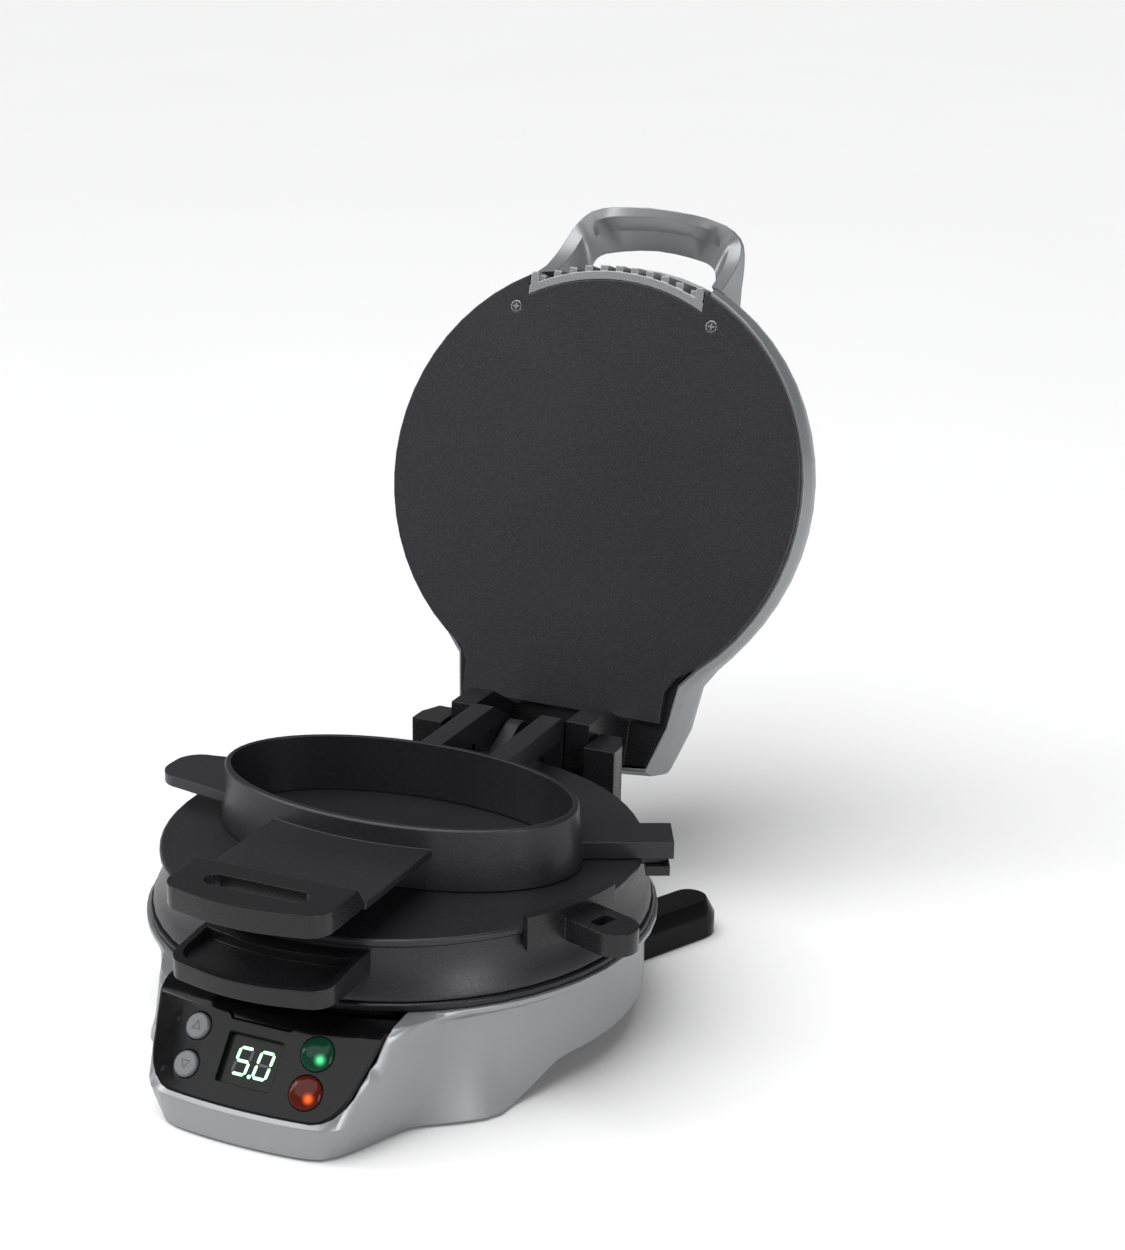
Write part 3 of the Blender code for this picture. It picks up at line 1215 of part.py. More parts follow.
def build_thermostat(name, body, seat, way):
    """A snap thermostat that sits on the middle of a heating plate."""
    flange = THERMOSTAT_RADIUS + BODY_WALL
    end = seat + way * THERMOSTAT_HEIGHT
    lip = seat + way * BUTTON_FLANGE_THICKNESS
    profile = [(0, seat), (flange, seat), (flange, lip)]
    profile += [(THERMOSTAT_RADIUS, lip), (THERMOSTAT_RADIUS, end), (0, end)]
    add_object(name, turned(name, profile, PIN_STEPS), CERAMIC, body)


def build_tower(base):
    """The black hinge tower behind the body, its pin and the cord inlet."""
    low = COVER_THICKNESS + GAP
    top = HINGE_Z + POST_ABOVE_HINGE
    outer = POST_INNER_X + POST_WIDTH
    plan = [
        (POST_INNER_X, POST_FRONT_Y),
        (outer, POST_FRONT_Y),
        (outer, POST_CORNER_Y),
        (POST_INNER_X + POST_BACK_WIDTH, POST_BACK_Y),
        (POST_INNER_X, POST_BACK_Y),
    ]
    tower = add_object("hinge_tower", prism("hinge_tower", plan, low, top), BLACK, base)
    join(tower, prism("left_post", [(-x, y) for x, y in plan], low, top))
    wall_top = HINGE_Z - TOWER_WALL_BELOW_HINGE
    wall_low = (-POST_INNER_X - OVERLAP, TOWER_WALL_FRONT_Y, low)
    wall_high = (POST_INNER_X + OVERLAP, POST_BACK_Y - OVERLAP, wall_top)
    join(tower, box("tower_wall", wall_low, wall_high))
    slope = [
        (POST_BACK_Y - 2 * POST_TOP_SLOPE, top + GAP),
        (POST_BACK_Y + GAP, top - 2 * POST_TOP_SLOPE),
        (POST_BACK_Y + OVERRUN, top + OVERRUN),
    ]
    cut(tower, prism("post_slope", slope, -outer - OVERRUN, outer + OVERRUN, "X"))
    bore = circle((HINGE_Y, HINGE_Z), HINGE_PIN_RADIUS + GAP)
    cut(tower, prism("hinge_bore", bore, -outer - OVERRUN, outer + OVERRUN, "X"))
    seat = POST_INNER_X + PIN_SEAT_DEPTH
    recess = circle((HINGE_Y, HINGE_Z), PIN_HEAD_RADIUS + GAP, 2 * SMALL_STEPS)
    for side in (-1, 1):
        ends = sorted((side * seat, side * (outer + OVERRUN)))
        cut(tower, prism("pin_recess", recess, *ends, "X"))
    inlet = Matrix.Translation((0, POST_BACK_Y, CORD_INLET_Z)) @ Matrix.Rotation(-pi / 2, 4, "X")
    back = POST_BACK_Y - OVERLAP - CORD_BUSH_LENGTH
    hole = circle((0, CORD_INLET_Z), CORD_BUSH_RADIUS + GAP, PIN_STEPS)
    cut(tower, prism("bush_hole", hole, back, POST_BACK_Y + OVERRUN, "Y"))
    duct = circle((0, CORD_INLET_Z), CORD_BORE_RADIUS, PIN_STEPS)
    cut(tower, prism("cord_duct", duct, TOWER_WALL_FRONT_Y - OVERRUN, back + OVERRUN, "Y"))
    face = -OVERLAP + GAP
    bush = [
        (CORD_BORE_RADIUS, face - CORD_BUSH_LENGTH),
        (CORD_BUSH_RADIUS, face - CORD_BUSH_LENGTH),
        (CORD_BUSH_RADIUS, face),
        (CORD_BUSH_RADIUS + CORD_BUSH_FLANGE, face),
        (CORD_BUSH_RADIUS + CORD_BUSH_FLANGE, face + CORD_BUSH_FLANGE),
        (CORD_BORE_RADIUS, face + CORD_BUSH_FLANGE),
    ]
    add_object("cord_bush", turned("cord_bush", bush, PIN_STEPS), RUBBER, base, inlet)
    head = seat + GAP
    pin = [
        (0, -head - PIN_HEAD_LENGTH),
        (PIN_HEAD_RADIUS, -head - PIN_HEAD_LENGTH),
        (PIN_HEAD_RADIUS, -head),
        (HINGE_PIN_RADIUS, -head),
        (HINGE_PIN_RADIUS, head + PIN_HEAD_LENGTH),
        (0, head + PIN_HEAD_LENGTH),
    ]
    lie = Matrix.Translation(HINGE) @ Matrix.Rotation(pi / 2, 4, "Y")
    add_object("hinge_pin", turned("hinge_pin", pin, SMALL_STEPS), STEEL, base, lie)
    clip = [
        (HINGE_PIN_RADIUS + GAP, head),
        (PIN_HEAD_RADIUS, head),
        (PIN_HEAD_RADIUS, head + PIN_HEAD_LENGTH / 2),
        (HINGE_PIN_RADIUS + GAP, head + PIN_HEAD_LENGTH / 2),
    ]
    add_object("hinge_pin_clip", turned("hinge_pin_clip", clip, SMALL_STEPS), STEEL, base, lie)


def add_arms(piece, knuckle, points, inner, outer):
    """Joins a pair of bored hinge arms to a piece: knuckles round the pin, drawn out to the root points."""
    outline = hull(circle((HINGE_Y, HINGE_Z), knuckle, PIN_STEPS) + points)
    for low, high in ((inner, outer), (-outer, -inner)):
        join(piece, prism("hinge_arm", outline, low, high, "X"))
    bore = circle((HINGE_Y, HINGE_Z), HINGE_PIN_RADIUS + GAP)
    cut(piece, prism("arm_bore", bore, -outer - OVERRUN, outer + OVERRUN, "X"))


def bottom_ring_profile(margin=0.0):
    """The bottom ring's outer side from its foot to its top."""
    flare = BOTTOM_RING_FOOT_RADIUS - BOTTOM_RING_TOP_RADIUS
    return [
        (BOTTOM_RING_FOOT_RADIUS - flare * inward + margin, RING_FOOT + BOTTOM_RING_HEIGHT * rise)
        for rise, inward in BOTTOM_RING_SHARES
    ]


def build_bottom_ring(body):
    """The flared bottom ring with its rear arms, its front tongue and the tray-like handle."""
    outer = bottom_ring_profile()
    inner_top = BOTTOM_RING_TOP_RADIUS - BOTTOM_RING_WALL
    inner_foot = BOTTOM_RING_FOOT_RADIUS - BOTTOM_RING_WALL
    inner = [
        (inner_top, RING_TOP),
        (inner_top, RING_FOOT + BOTTOM_RING_HEIGHT * BOTTOM_RING_INNER_SHARES[0]),
        (inner_foot - BOTTOM_RING_WALL / 2, RING_FOOT + BOTTOM_RING_HEIGHT * BOTTOM_RING_INNER_SHARES[1]),
        (inner_foot, RING_FOOT),
    ]
    ring = add_object("bottom_ring", turned("bottom_ring", outer + inner), NONSTICK, body)
    root_low, root_high = RING_FOOT + LOWER_ARM_BOTTOM_RISE, RING_TOP - LOWER_ARM_TOP_DROP
    roots = [(LOWER_ARM_ROOT_Y, root_low), (LOWER_ARM_ROOT_Y, root_high)]
    add_arms(ring, LOWER_KNUCKLE_RADIUS, roots, LOWER_ARM_INNER_X, LOWER_ARM_OUTER_X)
    low = RING_TOP - LOWER_HANDLE_BOTTOM_DROP
    tongue_low = low + LOWER_TONGUE_RISE
    tongue_high = tongue_low + LOWER_TONGUE_THICKNESS
    root = -(BOTTOM_RING_TOP_RADIUS - BOTTOM_RING_WALL / 2)
    near = (-LOWER_TONGUE_HALF_WIDTH, LOWER_TONGUE_FRONT, tongue_low)
    join(ring, box("tongue", near, (LOWER_TONGUE_HALF_WIDTH, root, tongue_high)))
    handle_top = low + LOWER_HANDLE_FRONT_HEIGHT
    lip_top = RING_TOP - LOWER_HANDLE_LIP_DROP
    outline = grip_outline(LOWER_HANDLE_HALF_WIDTH, LOWER_HANDLE_FRONT, LOWER_HANDLE_BACK)
    handle = add_object("bottom_ring_handle", prism("bottom_ring_handle", outline, low, lip_top), BLACK, body)
    slope = [
        (LOWER_HANDLE_FRONT - OVERRUN, handle_top),
        (LOWER_TRAY_BACK, lip_top - LOWER_TRAY_DEPTH / 2),
        (LOWER_TRAY_BACK + LOWER_TRAY_BORDER, lip_top + GAP),
        (LOWER_HANDLE_FRONT - OVERRUN, lip_top + OVERRUN),
    ]
    wide = LOWER_HANDLE_HALF_WIDTH + OVERRUN
    cut(handle, prism("handle_slope", slope, -wide, wide, "X"))
    inner_half = LOWER_HANDLE_HALF_WIDTH - LOWER_TRAY_BORDER
    tray = grip_outline(inner_half, LOWER_HANDLE_FRONT + LOWER_TRAY_BORDER, LOWER_TRAY_BACK)[1:-1]
    tray += arc_front(LOWER_LIP_RADIUS, inner_half, SMALL_STEPS)
    cut(handle, prism("handle_tray", tray, handle_top - LOWER_TRAY_DEPTH, lip_top + OVERRUN))
    pocket_low = (-LOWER_TONGUE_HALF_WIDTH - GAP, LOWER_TONGUE_FRONT - GAP, tongue_low - GAP)
    pocket_high = (LOWER_TONGUE_HALF_WIDTH + GAP, LOWER_HANDLE_BACK + OVERRUN, tongue_high + GAP)
    cut(handle, box("tongue_pocket", pocket_low, pocket_high))
    seat = [(0, RING_FOOT - OVERRUN), (BOTTOM_RING_FOOT_RADIUS + GAP, RING_FOOT - OVERRUN)]
    seat += bottom_ring_profile(GAP)[1:-1]
    seat += [(BOTTOM_RING_TOP_RADIUS + GAP, RING_TOP + OVERRUN), (0, RING_TOP + OVERRUN)]
    cut(handle, turned("ring_seat", seat))
    for side, word in ((-1, "left"), (1, "right")):
        centre = (side * HANDLE_SCREW_X, LOWER_SCREW_Y)
        add_handle_screw("bottom_handle_screw_" + word, body, (handle, ring), centre, low, tongue_high + GAP)


def add_handle_screw(name, body, pieces, centre, seat, top):
    """A screw that holds a handle to its tongue from below, with its bores."""
    for piece in pieces:
        cut(piece, prism("screw_bore", circle(centre, SCREW_RADIUS + GAP), seat - OVERRUN, top + GAP))
    add_screw(name, body, centre, seat - GAP, top)


def grip_outline(half_width, front, back):
    """A handle seen from above: straight sides, round front corners and a front edge that bows out."""
    corner = min(UPPER_HANDLE_CORNER, half_width / 2)
    shoulder = front + UPPER_HANDLE_BOW + corner
    run = half_width - corner
    bow_radius = (run**2 + UPPER_HANDLE_BOW**2) / (2 * UPPER_HANDLE_BOW)
    sweep = asin(run / bow_radius)
    right = arc((run, shoulder), corner, 0, -pi / 2 + sweep, 5)
    bow = []
    for x in np.linspace(run - corner * sin(sweep), corner * sin(sweep) - run, SMALL_STEPS)[1:-1]:
        edge = front + bow_radius - sqrt(bow_radius**2 - x**2)
        bow.append((x, edge))
    left = [(-x, y) for x, y in right[::-1]]
    return [(half_width, back)] + right + bow + left + [(-half_width, back)]


def ellipse(half_length, half_width, z):
    """A ring of points round the egg ring's centre."""
    return [
        (half_length * cos(a), EGG_RING_Y + half_width * sin(a), z)
        for a in np.linspace(0, 2 * pi, EGG_STEPS, endpoint=False)
    ]


def build_egg_ring(body):
    """The oval egg ring with its shelf, left tab, pivot block and rear arms, and the slotted handle."""
    rim_foot = EGG_RING_TOP - EGG_RIM_ROUND
    levels = ((EGG_RING_FOOT, EGG_RING_DRAFT), (rim_foot, 0), (EGG_RING_TOP, -EGG_RIM_ROUND))
    rings = [ellipse(EGG_RING_HALF_LENGTH + grow, EGG_RING_HALF_WIDTH + grow, z) for z, grow in levels]
    ring = add_object("egg_ring", lofted("egg_ring", rings), NONSTICK, body)
    shelf_top = EGG_RING_TOP - SHELF_TOP_DROP
    shelf_low = shelf_top - SHELF_THICKNESS
    shelf_back = EGG_RING_Y - EGG_RING_WALL
    shelf = ((-SHELF_HALF_WIDTH, SHELF_FRONT, shelf_low), (SHELF_HALF_WIDTH, shelf_back, shelf_top))
    join(ring, box("shelf", *shelf))
    tongue = (
        (-SHELF_TONGUE_HALF_WIDTH, SHELF_TONGUE_FRONT, shelf_low),
        (SHELF_TONGUE_HALF_WIDTH, SHELF_FRONT + OVERRUN, shelf_top),
    )
    join(ring, box("shelf_tongue", *tongue))
    tab_top = EGG_RING_TOP - TAB_TOP_DROP
    tab_corner = TAB_TIP_X + TAB_CORNER_RADIUS
    tip_y = TAB_TIP_HALF_WIDTH - TAB_CORNER_RADIUS
    tab = [(TAB_ROOT_X, EGG_RING_Y + TAB_ROOT_HALF_WIDTH)]
    tab += arc((tab_corner, EGG_RING_Y + tip_y), TAB_CORNER_RADIUS, pi / 2, pi, 6)
    tab += arc((tab_corner, EGG_RING_Y - tip_y), TAB_CORNER_RADIUS, pi, 3 * pi / 2, 6)
    tab += [(TAB_ROOT_X, EGG_RING_Y - TAB_ROOT_HALF_WIDTH)]
    join(ring, prism("lifting_tab", tab, tab_top - TAB_THICKNESS, tab_top))
    block = block_outline(BLOCK_END, BLOCK_END - BLOCK_LENGTH, BLOCK_WIDTH / 2)
    block_top = EGG_RING_FOOT + BLOCK_HEIGHT
    join(ring, prism("pivot_block", block, EGG_RING_FOOT, block_top))
    arm_top = EGG_RING_TOP - UPPER_ARM_TOP_DROP
    roots = [
        (EGG_RING_Y + EGG_RING_WALL, arm_top),
        (UPPER_ARM_BACK_Y, arm_top),
        (EGG_RING_Y + EGG_RING_WALL, arm_top - UPPER_ARM_DEPTH),
    ]
    add_upper_arms(ring, roots, arm_top)
    cavity = [
        ellipse(EGG_RING_HALF_LENGTH + grow - EGG_RING_WALL, EGG_RING_HALF_WIDTH + grow - EGG_RING_WALL, z)
        for z, grow in ((EGG_RING_FOOT - OVERRUN, EGG_RING_DRAFT), (EGG_RING_TOP + OVERRUN, 0))
    ]
    cut(ring, lofted("egg_cavity", cavity))
    bore = circle((PIVOT_X, PIVOT_Y), PIVOT_PIN_RADIUS + GAP, PIN_STEPS)
    cut(ring, prism("pivot_bore", bore, PLATE_TOP - OVERRUN, block_top - PIVOT_CAP))
    build_pivot_pin(body, block_top - PIVOT_CAP - GAP)
    build_upper_handle(body, ring, shelf_low, shelf_top)


def block_outline(far, near, half_width):
    """A rectangle along the pivot block's direction, between two distances from the pivot."""
    along = Vector((cos(BLOCK_TURN), sin(BLOCK_TURN)))
    across = Vector((-along.y, along.x))
    pivot = Vector((PIVOT_X, PIVOT_Y))
    ends = ((far, -1), (far, 1), (near, 1), (near, -1))
    return [tuple(pivot + along * end + across * (half_width * side)) for end, side in ends]


def add_upper_arms(ring, roots, arm_top):
    """The egg ring's arms run level over the plate and drop to the pin behind its edge."""
    knuckle = circle((HINGE_Y, HINGE_Z), UPPER_KNUCKLE_RADIUS, PIN_STEPS)
    drop = hull(knuckle + [roots[1], (UPPER_ARM_BACK_Y, arm_top - UPPER_ARM_DEPTH)])
    level = [roots[0], roots[1], (UPPER_ARM_BACK_Y, arm_top - UPPER_ARM_DEPTH), roots[2]]
    level = [(y + (OVERLAP if y == UPPER_ARM_BACK_Y else 0), z) for y, z in level]
    for low, high in ((UPPER_ARM_INNER_X, UPPER_ARM_OUTER_X), (-UPPER_ARM_OUTER_X, -UPPER_ARM_INNER_X)):
        join(ring, prism("level_arm", level, low, high, "X"))
        join(ring, prism("drop_arm", drop, low, high, "X"))
    bore = circle((HINGE_Y, HINGE_Z), HINGE_PIN_RADIUS + GAP)
    cut(ring, prism("upper_arm_bore", bore, -UPPER_ARM_OUTER_X - OVERRUN, UPPER_ARM_OUTER_X + OVERRUN, "X"))


def build_pivot_pin(body, pin_top):
    """The pin that the cooking plate turns on, fixed in the pivot block, with its block-shaped foot."""
    foot_top = PLATE_BOTTOM - GAP
    foot_low = foot_top - BLOCK_FOOT_HEIGHT
    inset = BLOCK_FOOT_INSET
    foot = block_outline(BLOCK_END - inset, -BLOCK_FOOT_REACH, BLOCK_WIDTH / 2 - inset)
    pin = add_object("plate_pivot_pin", prism("plate_pivot_pin", foot, foot_low, foot_top), BLACK, body)
    shaft = circle((PIVOT_X, PIVOT_Y), PIVOT_PIN_RADIUS, PIN_STEPS)
    join(pin, prism("pivot_shaft", shaft, foot_low + OVERLAP, pin_top))


def build_upper_handle(body, ring, shelf_low, shelf_top):
    """The slotted black handle over the shelf's tongue."""
    top = EGG_RING_TOP - UPPER_HANDLE_TOP_DROP
    low = top - UPPER_HANDLE_HEIGHT
    back = SHELF_FRONT - GAP
    outline = grip_outline(UPPER_HANDLE_HALF_WIDTH, UPPER_HANDLE_FRONT, back)
    handle = add_object("egg_ring_handle", prism("egg_ring_handle", outline, low, top), BLACK, body)
    slant = [
        (back + OVERRUN, shelf_top),
        (back + GAP, shelf_top),
        (back - UPPER_HANDLE_BACK_SLANT, top + GAP),
        (back + OVERRUN, top + GAP),
    ]
    wide = UPPER_HANDLE_HALF_WIDTH + OVERRUN
    cut(handle, prism("back_slant", slant, -wide, wide, "X"))
    run = UPPER_SLOT_HALF_LENGTH - UPPER_SLOT_WIDTH / 2
    slot = stadium((-run, UPPER_SLOT_Y), (run, UPPER_SLOT_Y), UPPER_SLOT_WIDTH / 2, SMALL_STEPS // 2)
    cut(handle, prism("handle_slot", slot, low - OVERRUN, top + OVERRUN))
    pocket_low = (-SHELF_TONGUE_HALF_WIDTH - GAP, SHELF_TONGUE_FRONT - GAP, low - OVERRUN)
    pocket_high = (SHELF_TONGUE_HALF_WIDTH + GAP, back + OVERRUN, shelf_top + GAP)
    cut(handle, box("tongue_pocket", pocket_low, pocket_high))
    for side, word in ((-1, "left"), (1, "right")):
        centre = (side * HANDLE_SCREW_X, UPPER_SCREW_Y)
        name = "egg_handle_screw_" + word
        add_handle_screw(name, body, (handle, ring), centre, shelf_low, shelf_top + OVERRUN)


def build_cooking_plate(body):
    """The round plate between the rings, its pivot ear and its slotted side handle."""
    rim = PLATE_RADIUS - PLATE_RIM_WIDTH
    profile = [
        (0, PLATE_BOTTOM),
        (PLATE_RADIUS - PLATE_EDGE, PLATE_BOTTOM),
        (PLATE_RADIUS, PLATE_BOTTOM + PLATE_EDGE),
        (PLATE_RADIUS, PLATE_TOP - PLATE_EDGE),
        (PLATE_RADIUS - PLATE_EDGE, PLATE_TOP),
        (rim, PLATE_TOP),
        (rim - PLATE_EDGE, PLATE_TOP - PLATE_RIM_HEIGHT),
        (0, PLATE_TOP - PLATE_RIM_HEIGHT),
    ]
    plate = add_object("cooking_plate", turned("cooking_plate", profile, PLATE_STEPS), NONSTICK, body)
    inner = PLATE_RADIUS - 2 * PIVOT_EAR_RADIUS
    spread = 2 * asin(PIVOT_EAR_RADIUS / inner)
    turns = [PIVOT_DIRECTION + side * spread for side in (-1, 1)]
    roots = [(inner * cos(turn), inner * sin(turn)) for turn in turns]
    ear = hull(circle((PIVOT_X, PIVOT_Y), PIVOT_EAR_RADIUS, PIN_STEPS) + roots)
    join(plate, prism("pivot_ear", ear, PLATE_BOTTOM, PLATE_TOP - PLATE_RIM_HEIGHT / 2))
    bore = circle((PIVOT_X, PIVOT_Y), PIVOT_PIN_RADIUS + GAP, PIN_STEPS)
    cut(plate, prism("ear_bore", bore, PLATE_BOTTOM - OVERRUN, PLATE_TOP + OVERRUN))
    turn = Matrix.Rotation(PLATE_HANDLE_DIRECTION, 4, "Z")
    tongue_low = (PLATE_RADIUS - OVERRUN, -PLATE_TONGUE_HALF_WIDTH, PLATE_BOTTOM + PLATE_EDGE)
    tongue_high = (PLATE_TONGUE_REACH, PLATE_TONGUE_HALF_WIDTH, PLATE_TOP - PLATE_EDGE)
    join(plate, box("plate_tongue", tongue_low, tongue_high), turn)
    build_plate_handle(body, plate, turn, tongue_low, tongue_high)


def build_plate_handle(body, plate, turn, tongue_low, tongue_high):
    """A curved bracket that hugs the plate's edge, with a slotted tab."""
    inner = PLATE_RADIUS + GAP
    outer = inner + PLATE_HANDLE_WALL
    high = PLATE_TOP + PLATE_HANDLE_RISE
    low = PLATE_BOTTOM - PLATE_HANDLE_DROP
    ends = (PLATE_HANDLE_SKEW - PLATE_HANDLE_SPREAD, PLATE_HANDLE_SKEW + PLATE_HANDLE_SPREAD)
    wall = arc((0, 0), outer, *ends, SMALL_STEPS)
    wall += arc((0, 0), inner, *ends[::-1], SMALL_STEPS)
    handle = add_object("plate_handle", prism("plate_handle", wall, low, high), BLACK, body, turn)
    tab_top = PLATE_TOP + PLATE_TAB_RISE
    tab_low = tab_top - PLATE_TAB_THICKNESS
    centre = PLATE_TAB_REACH - PLATE_TAB_HALF_WIDTH
    root = inner + PLATE_HANDLE_WALL / 2
    tab = [(root, -PLATE_TAB_HALF_WIDTH)]
    tab += arc((centre, 0), PLATE_TAB_HALF_WIDTH, -pi / 2, pi / 2, SMALL_STEPS)
    tab += [(root, PLATE_TAB_HALF_WIDTH)]
    join(handle, prism("plate_tab", tab, tab_low, tab_top), turn)
    slot = rounded_box_outline(PLATE_TAB_SLOT_WIDTH, PLATE_TAB_SLOT_LENGTH, PLATE_TAB_SLOT_WIDTH / 4)
    slot = moved(slot, (PLATE_TAB_SLOT_DISTANCE, 0))
    cut(handle, prism("tab_slot", slot, tab_low - OVERRUN, tab_top + OVERRUN), turn)
    pocket_low = (inner - OVERRUN, tongue_low[1] - GAP, tongue_low[2] - GAP)
    pocket_high = (tongue_high[0] + GAP, tongue_high[1] + GAP, tongue_high[2] + GAP)
    cut(handle, box("plate_tongue_pocket", pocket_low, pocket_high), turn)
    for side, word in ((-1, "left"), (1, "right")):
        local = (PLATE_SCREW_DISTANCE, side * PLATE_SCREW_SPREAD)
        tip = tongue_high[2] + GAP
        bore = prism("plate_screw_bore", circle(local, SCREW_RADIUS + GAP), tab_low - OVERRUN, tip + GAP)
        cut(handle, bore, turn)
        bore = prism("plate_screw_bore", circle(local, SCREW_RADIUS + GAP), tab_low - OVERRUN, tip + OVERRUN)
        cut(plate, bore, turn)
        add_screw("plate_handle_screw_" + word, body, local, tab_low - GAP, tip, turn)


def lid_radius_at(direction, inset=0.0):
    """The lid's outer radius in a direction round from the front, with the square tail at the hinge."""
    around = pi - abs(direction)
    radius = LID_RADIUS
    if around < pi / 2:
        rear_line = LID_TAIL_REACH / cos(around)
        side_line = LID_TAIL_INTERCEPT / (sin(around) + LID_TAIL_TAPER_SHARE * cos(around))
        tail = smooth_least(rear_line, side_line, LID_TAIL_CORNER_POWER)
        if tail > LID_RADIUS - LID_TAIL_BLEND:
            radius = smooth_most(LID_RADIUS, tail, LID_TAIL_BLEND)
    return radius - inset


def dome_radius(z):
    """The cover's outer radius at a height, away from its tail."""
    low = LID_PLATE_BOTTOM + LID_RIM_RISE
    rises, shares = zip(*DOME_SHARES)
    return LID_RADIUS * np.interp((z - low) / (LID_DOME_TOP - low), rises, shares)


def dome_mesh(name, grow, floor):
    """The lid cover's outer form, made larger or smaller all round, closed flat at its floor."""
    low = LID_PLATE_BOTTOM + LID_RIM_RISE
    rings = []
    for k, (rise, share) in enumerate(DOME_SHARES):
        z = low + (LID_DOME_TOP - low) * rise + (grow if rise > DOME_SHARES[2][0] else 0)
        ring = []
        for d in even_directions():
            tail = 1 - smooth_step(pi - abs(d), TAIL_HALF_TURN, TAIL_FADE_TURN)
            mixed = share + (TAIL_SHARES[k] - share) * tail
            ring.append(polar(d, lid_radius_at(d) * mixed + grow, z if k else floor))
        rings.append(ring)
    return lofted(name, rings)


def build_lid_cover(lid):
    """The silver domed cover, open below, with a gap at the front for the grille."""
    low = LID_PLATE_BOTTOM + LID_RIM_RISE
    cover = add_object("lid_cover", dome_mesh("lid_cover", 0, low), SILVER, lid)
    cut(cover, dome_mesh("lid_hollow", -LID_WALL, low - OVERRUN))
    half = LID_NOTCH_HALF_WIDTH + GRILLE_MARGIN
    notch_top = LID_PLATE_TOP + GRILLE_HEIGHT
    near = (-half, -LID_RADIUS - OVERRUN, low - 2 * OVERRUN)
    cut(cover, box("front_notch", near, (half, -LID_NOTCH_RADIUS + OVERRUN, notch_top)))


def lid_plate_outline(margin=0.0):
    """The upper heating plate: a disc with a notch at the front and a neck at the rear."""
    radius = LID_PLATE_RADIUS + margin
    notch_half = LID_NOTCH_HALF_WIDTH - margin
    notch_angle = asin(notch_half / radius)
    inner = LID_NOTCH_RADIUS + margin
    inner_angle = asin(notch_half / inner)
    neck_half = LID_NECK_HALF_WIDTH + margin
    neck_angle = asin(neck_half / radius)
    outline = [polar(a, inner, 0)[:2] for a in np.linspace(-inner_angle, inner_angle, 12)]
    steps = ROUND_STEPS // 2 - 4
    side = np.linspace(notch_angle, pi - neck_angle - LID_NECK_CORNER, steps)
    outline += [polar(a, radius, 0)[:2] for a in side]
    reach = LID_NECK_REACH + margin
    right = [(neck_half + EDGE_ROUND, radius * cos(neck_angle) + OVERRUN), (neck_half, reach)]
    left = [(-x, y) for x, y in right[::-1]]
    outline += right + left
    outline += [polar(-a, radius, 0)[:2] for a in side[::-1]]
    return outline


def build_lid_frame(lid):
    """The black frame that carries the plate, the cover and the hinge arms."""
    low = LID_PLATE_TOP + GAP
    high = low + FRAME_HEIGHT
    share = DOME_SHARES[0][1]
    outline = [polar(d, lid_radius_at(d) * share - LID_WALL - GAP, 0)[:2] for d in even_directions()]
    frame = add_object("lid_frame", prism("lid_frame", outline, low, high), BLACK, lid)
    hole = circle((0, 0), FRAME_HOLE_RADIUS, MEDIUM_STEPS)
    cut(frame, prism("frame_hole", hole, low - OVERRUN, high + OVERRUN))
    half = LID_NOTCH_HALF_WIDTH + GRILLE_MARGIN
    notch = sector(LID_NOTCH_RADIUS, LID_RADIUS + OVERRUN, half)
    cut(frame, prism("frame_notch", notch, low - OVERRUN, high + OVERRUN))
    turned_back = Matrix.Rotation(LID_OPENING, 3, "X")
    shoulders = []
    for y in (-LID_SHOULDER_HALF_LENGTH, LID_SHOULDER_HALF_LENGTH):
        corner = turned_back @ Vector((0, y, LID_SHOULDER_HEIGHT))
        shoulders.append((HINGE_Y + corner.y, HINGE_Z + corner.z))
    seat = low + OVERLAP
    points = shoulders + [(LID_ARM_FRONT_Y, seat), (LID_ARM_BACK_Y, seat)]
    add_arms(frame, LID_KNUCKLE_RADIUS, points, LID_ARM_INNER_X, LID_ARM_OUTER_X)
    return frame, high


def build_lid(lid):
    """The lid as it lies shut. Its carrier then turns it open."""
    build_lid_cover(lid)
    frame, frame_top = build_lid_frame(lid)
    outline = lid_plate_outline()
    plate = prism("upper_heating_plate", outline, LID_PLATE_BOTTOM, LID_PLATE_TOP)
    plate = add_object("upper_heating_plate", plate, NONSTICK, lid)
    for side, word in ((-1, "left"), (1, "right")):
        centre = (side * LID_SCREW_X, LID_SCREW_Y)
        seat = LID_PLATE_BOTTOM + SCREW_HEAD_HEIGHT
        cut(plate, prism("screw_head_seat", circle(centre, SCREW_HEAD_RADIUS + GAP), 0, seat + GAP))
        bore = circle(centre, SCREW_RADIUS + GAP)
        cut(plate, prism("lid_screw_bore", bore, 0, LID_PLATE_TOP + OVERRUN))
        tip = frame_top - SCREW_RADIUS
        cut(frame, prism("frame_screw_bore", bore, 0, tip + GAP))
        add_screw("plate_screw_" + word, lid, centre, seat, tip)
    build_element("upper_heating_element", lid, LID_PLATE_TOP + GAP + ELEMENT_TUBE, 1)
    build_reflector("upper_heat_reflector", lid, frame_top + GAP, 1, FRAME_HOLE_RADIUS)
    build_thermostat("upper_thermostat", lid, LID_PLATE_TOP + GAP, 1)
    build_grille(lid)
    build_lid_handle(lid)


def sector(inner, outer, half_width, steps=PIN_STEPS):
    """An outline between two arcs at the front, cut off at a half width."""
    far = arc_front(outer, half_width, steps)
    near = arc_front(inner, half_width, steps)
    return far + near[::-1]


def arc_front(radius, half_width, steps):
    """Points on a circle about the origin at the front, between two widths."""
    return [(x, -sqrt(radius**2 - x**2)) for x in np.linspace(-half_width, half_width, steps + 1)]


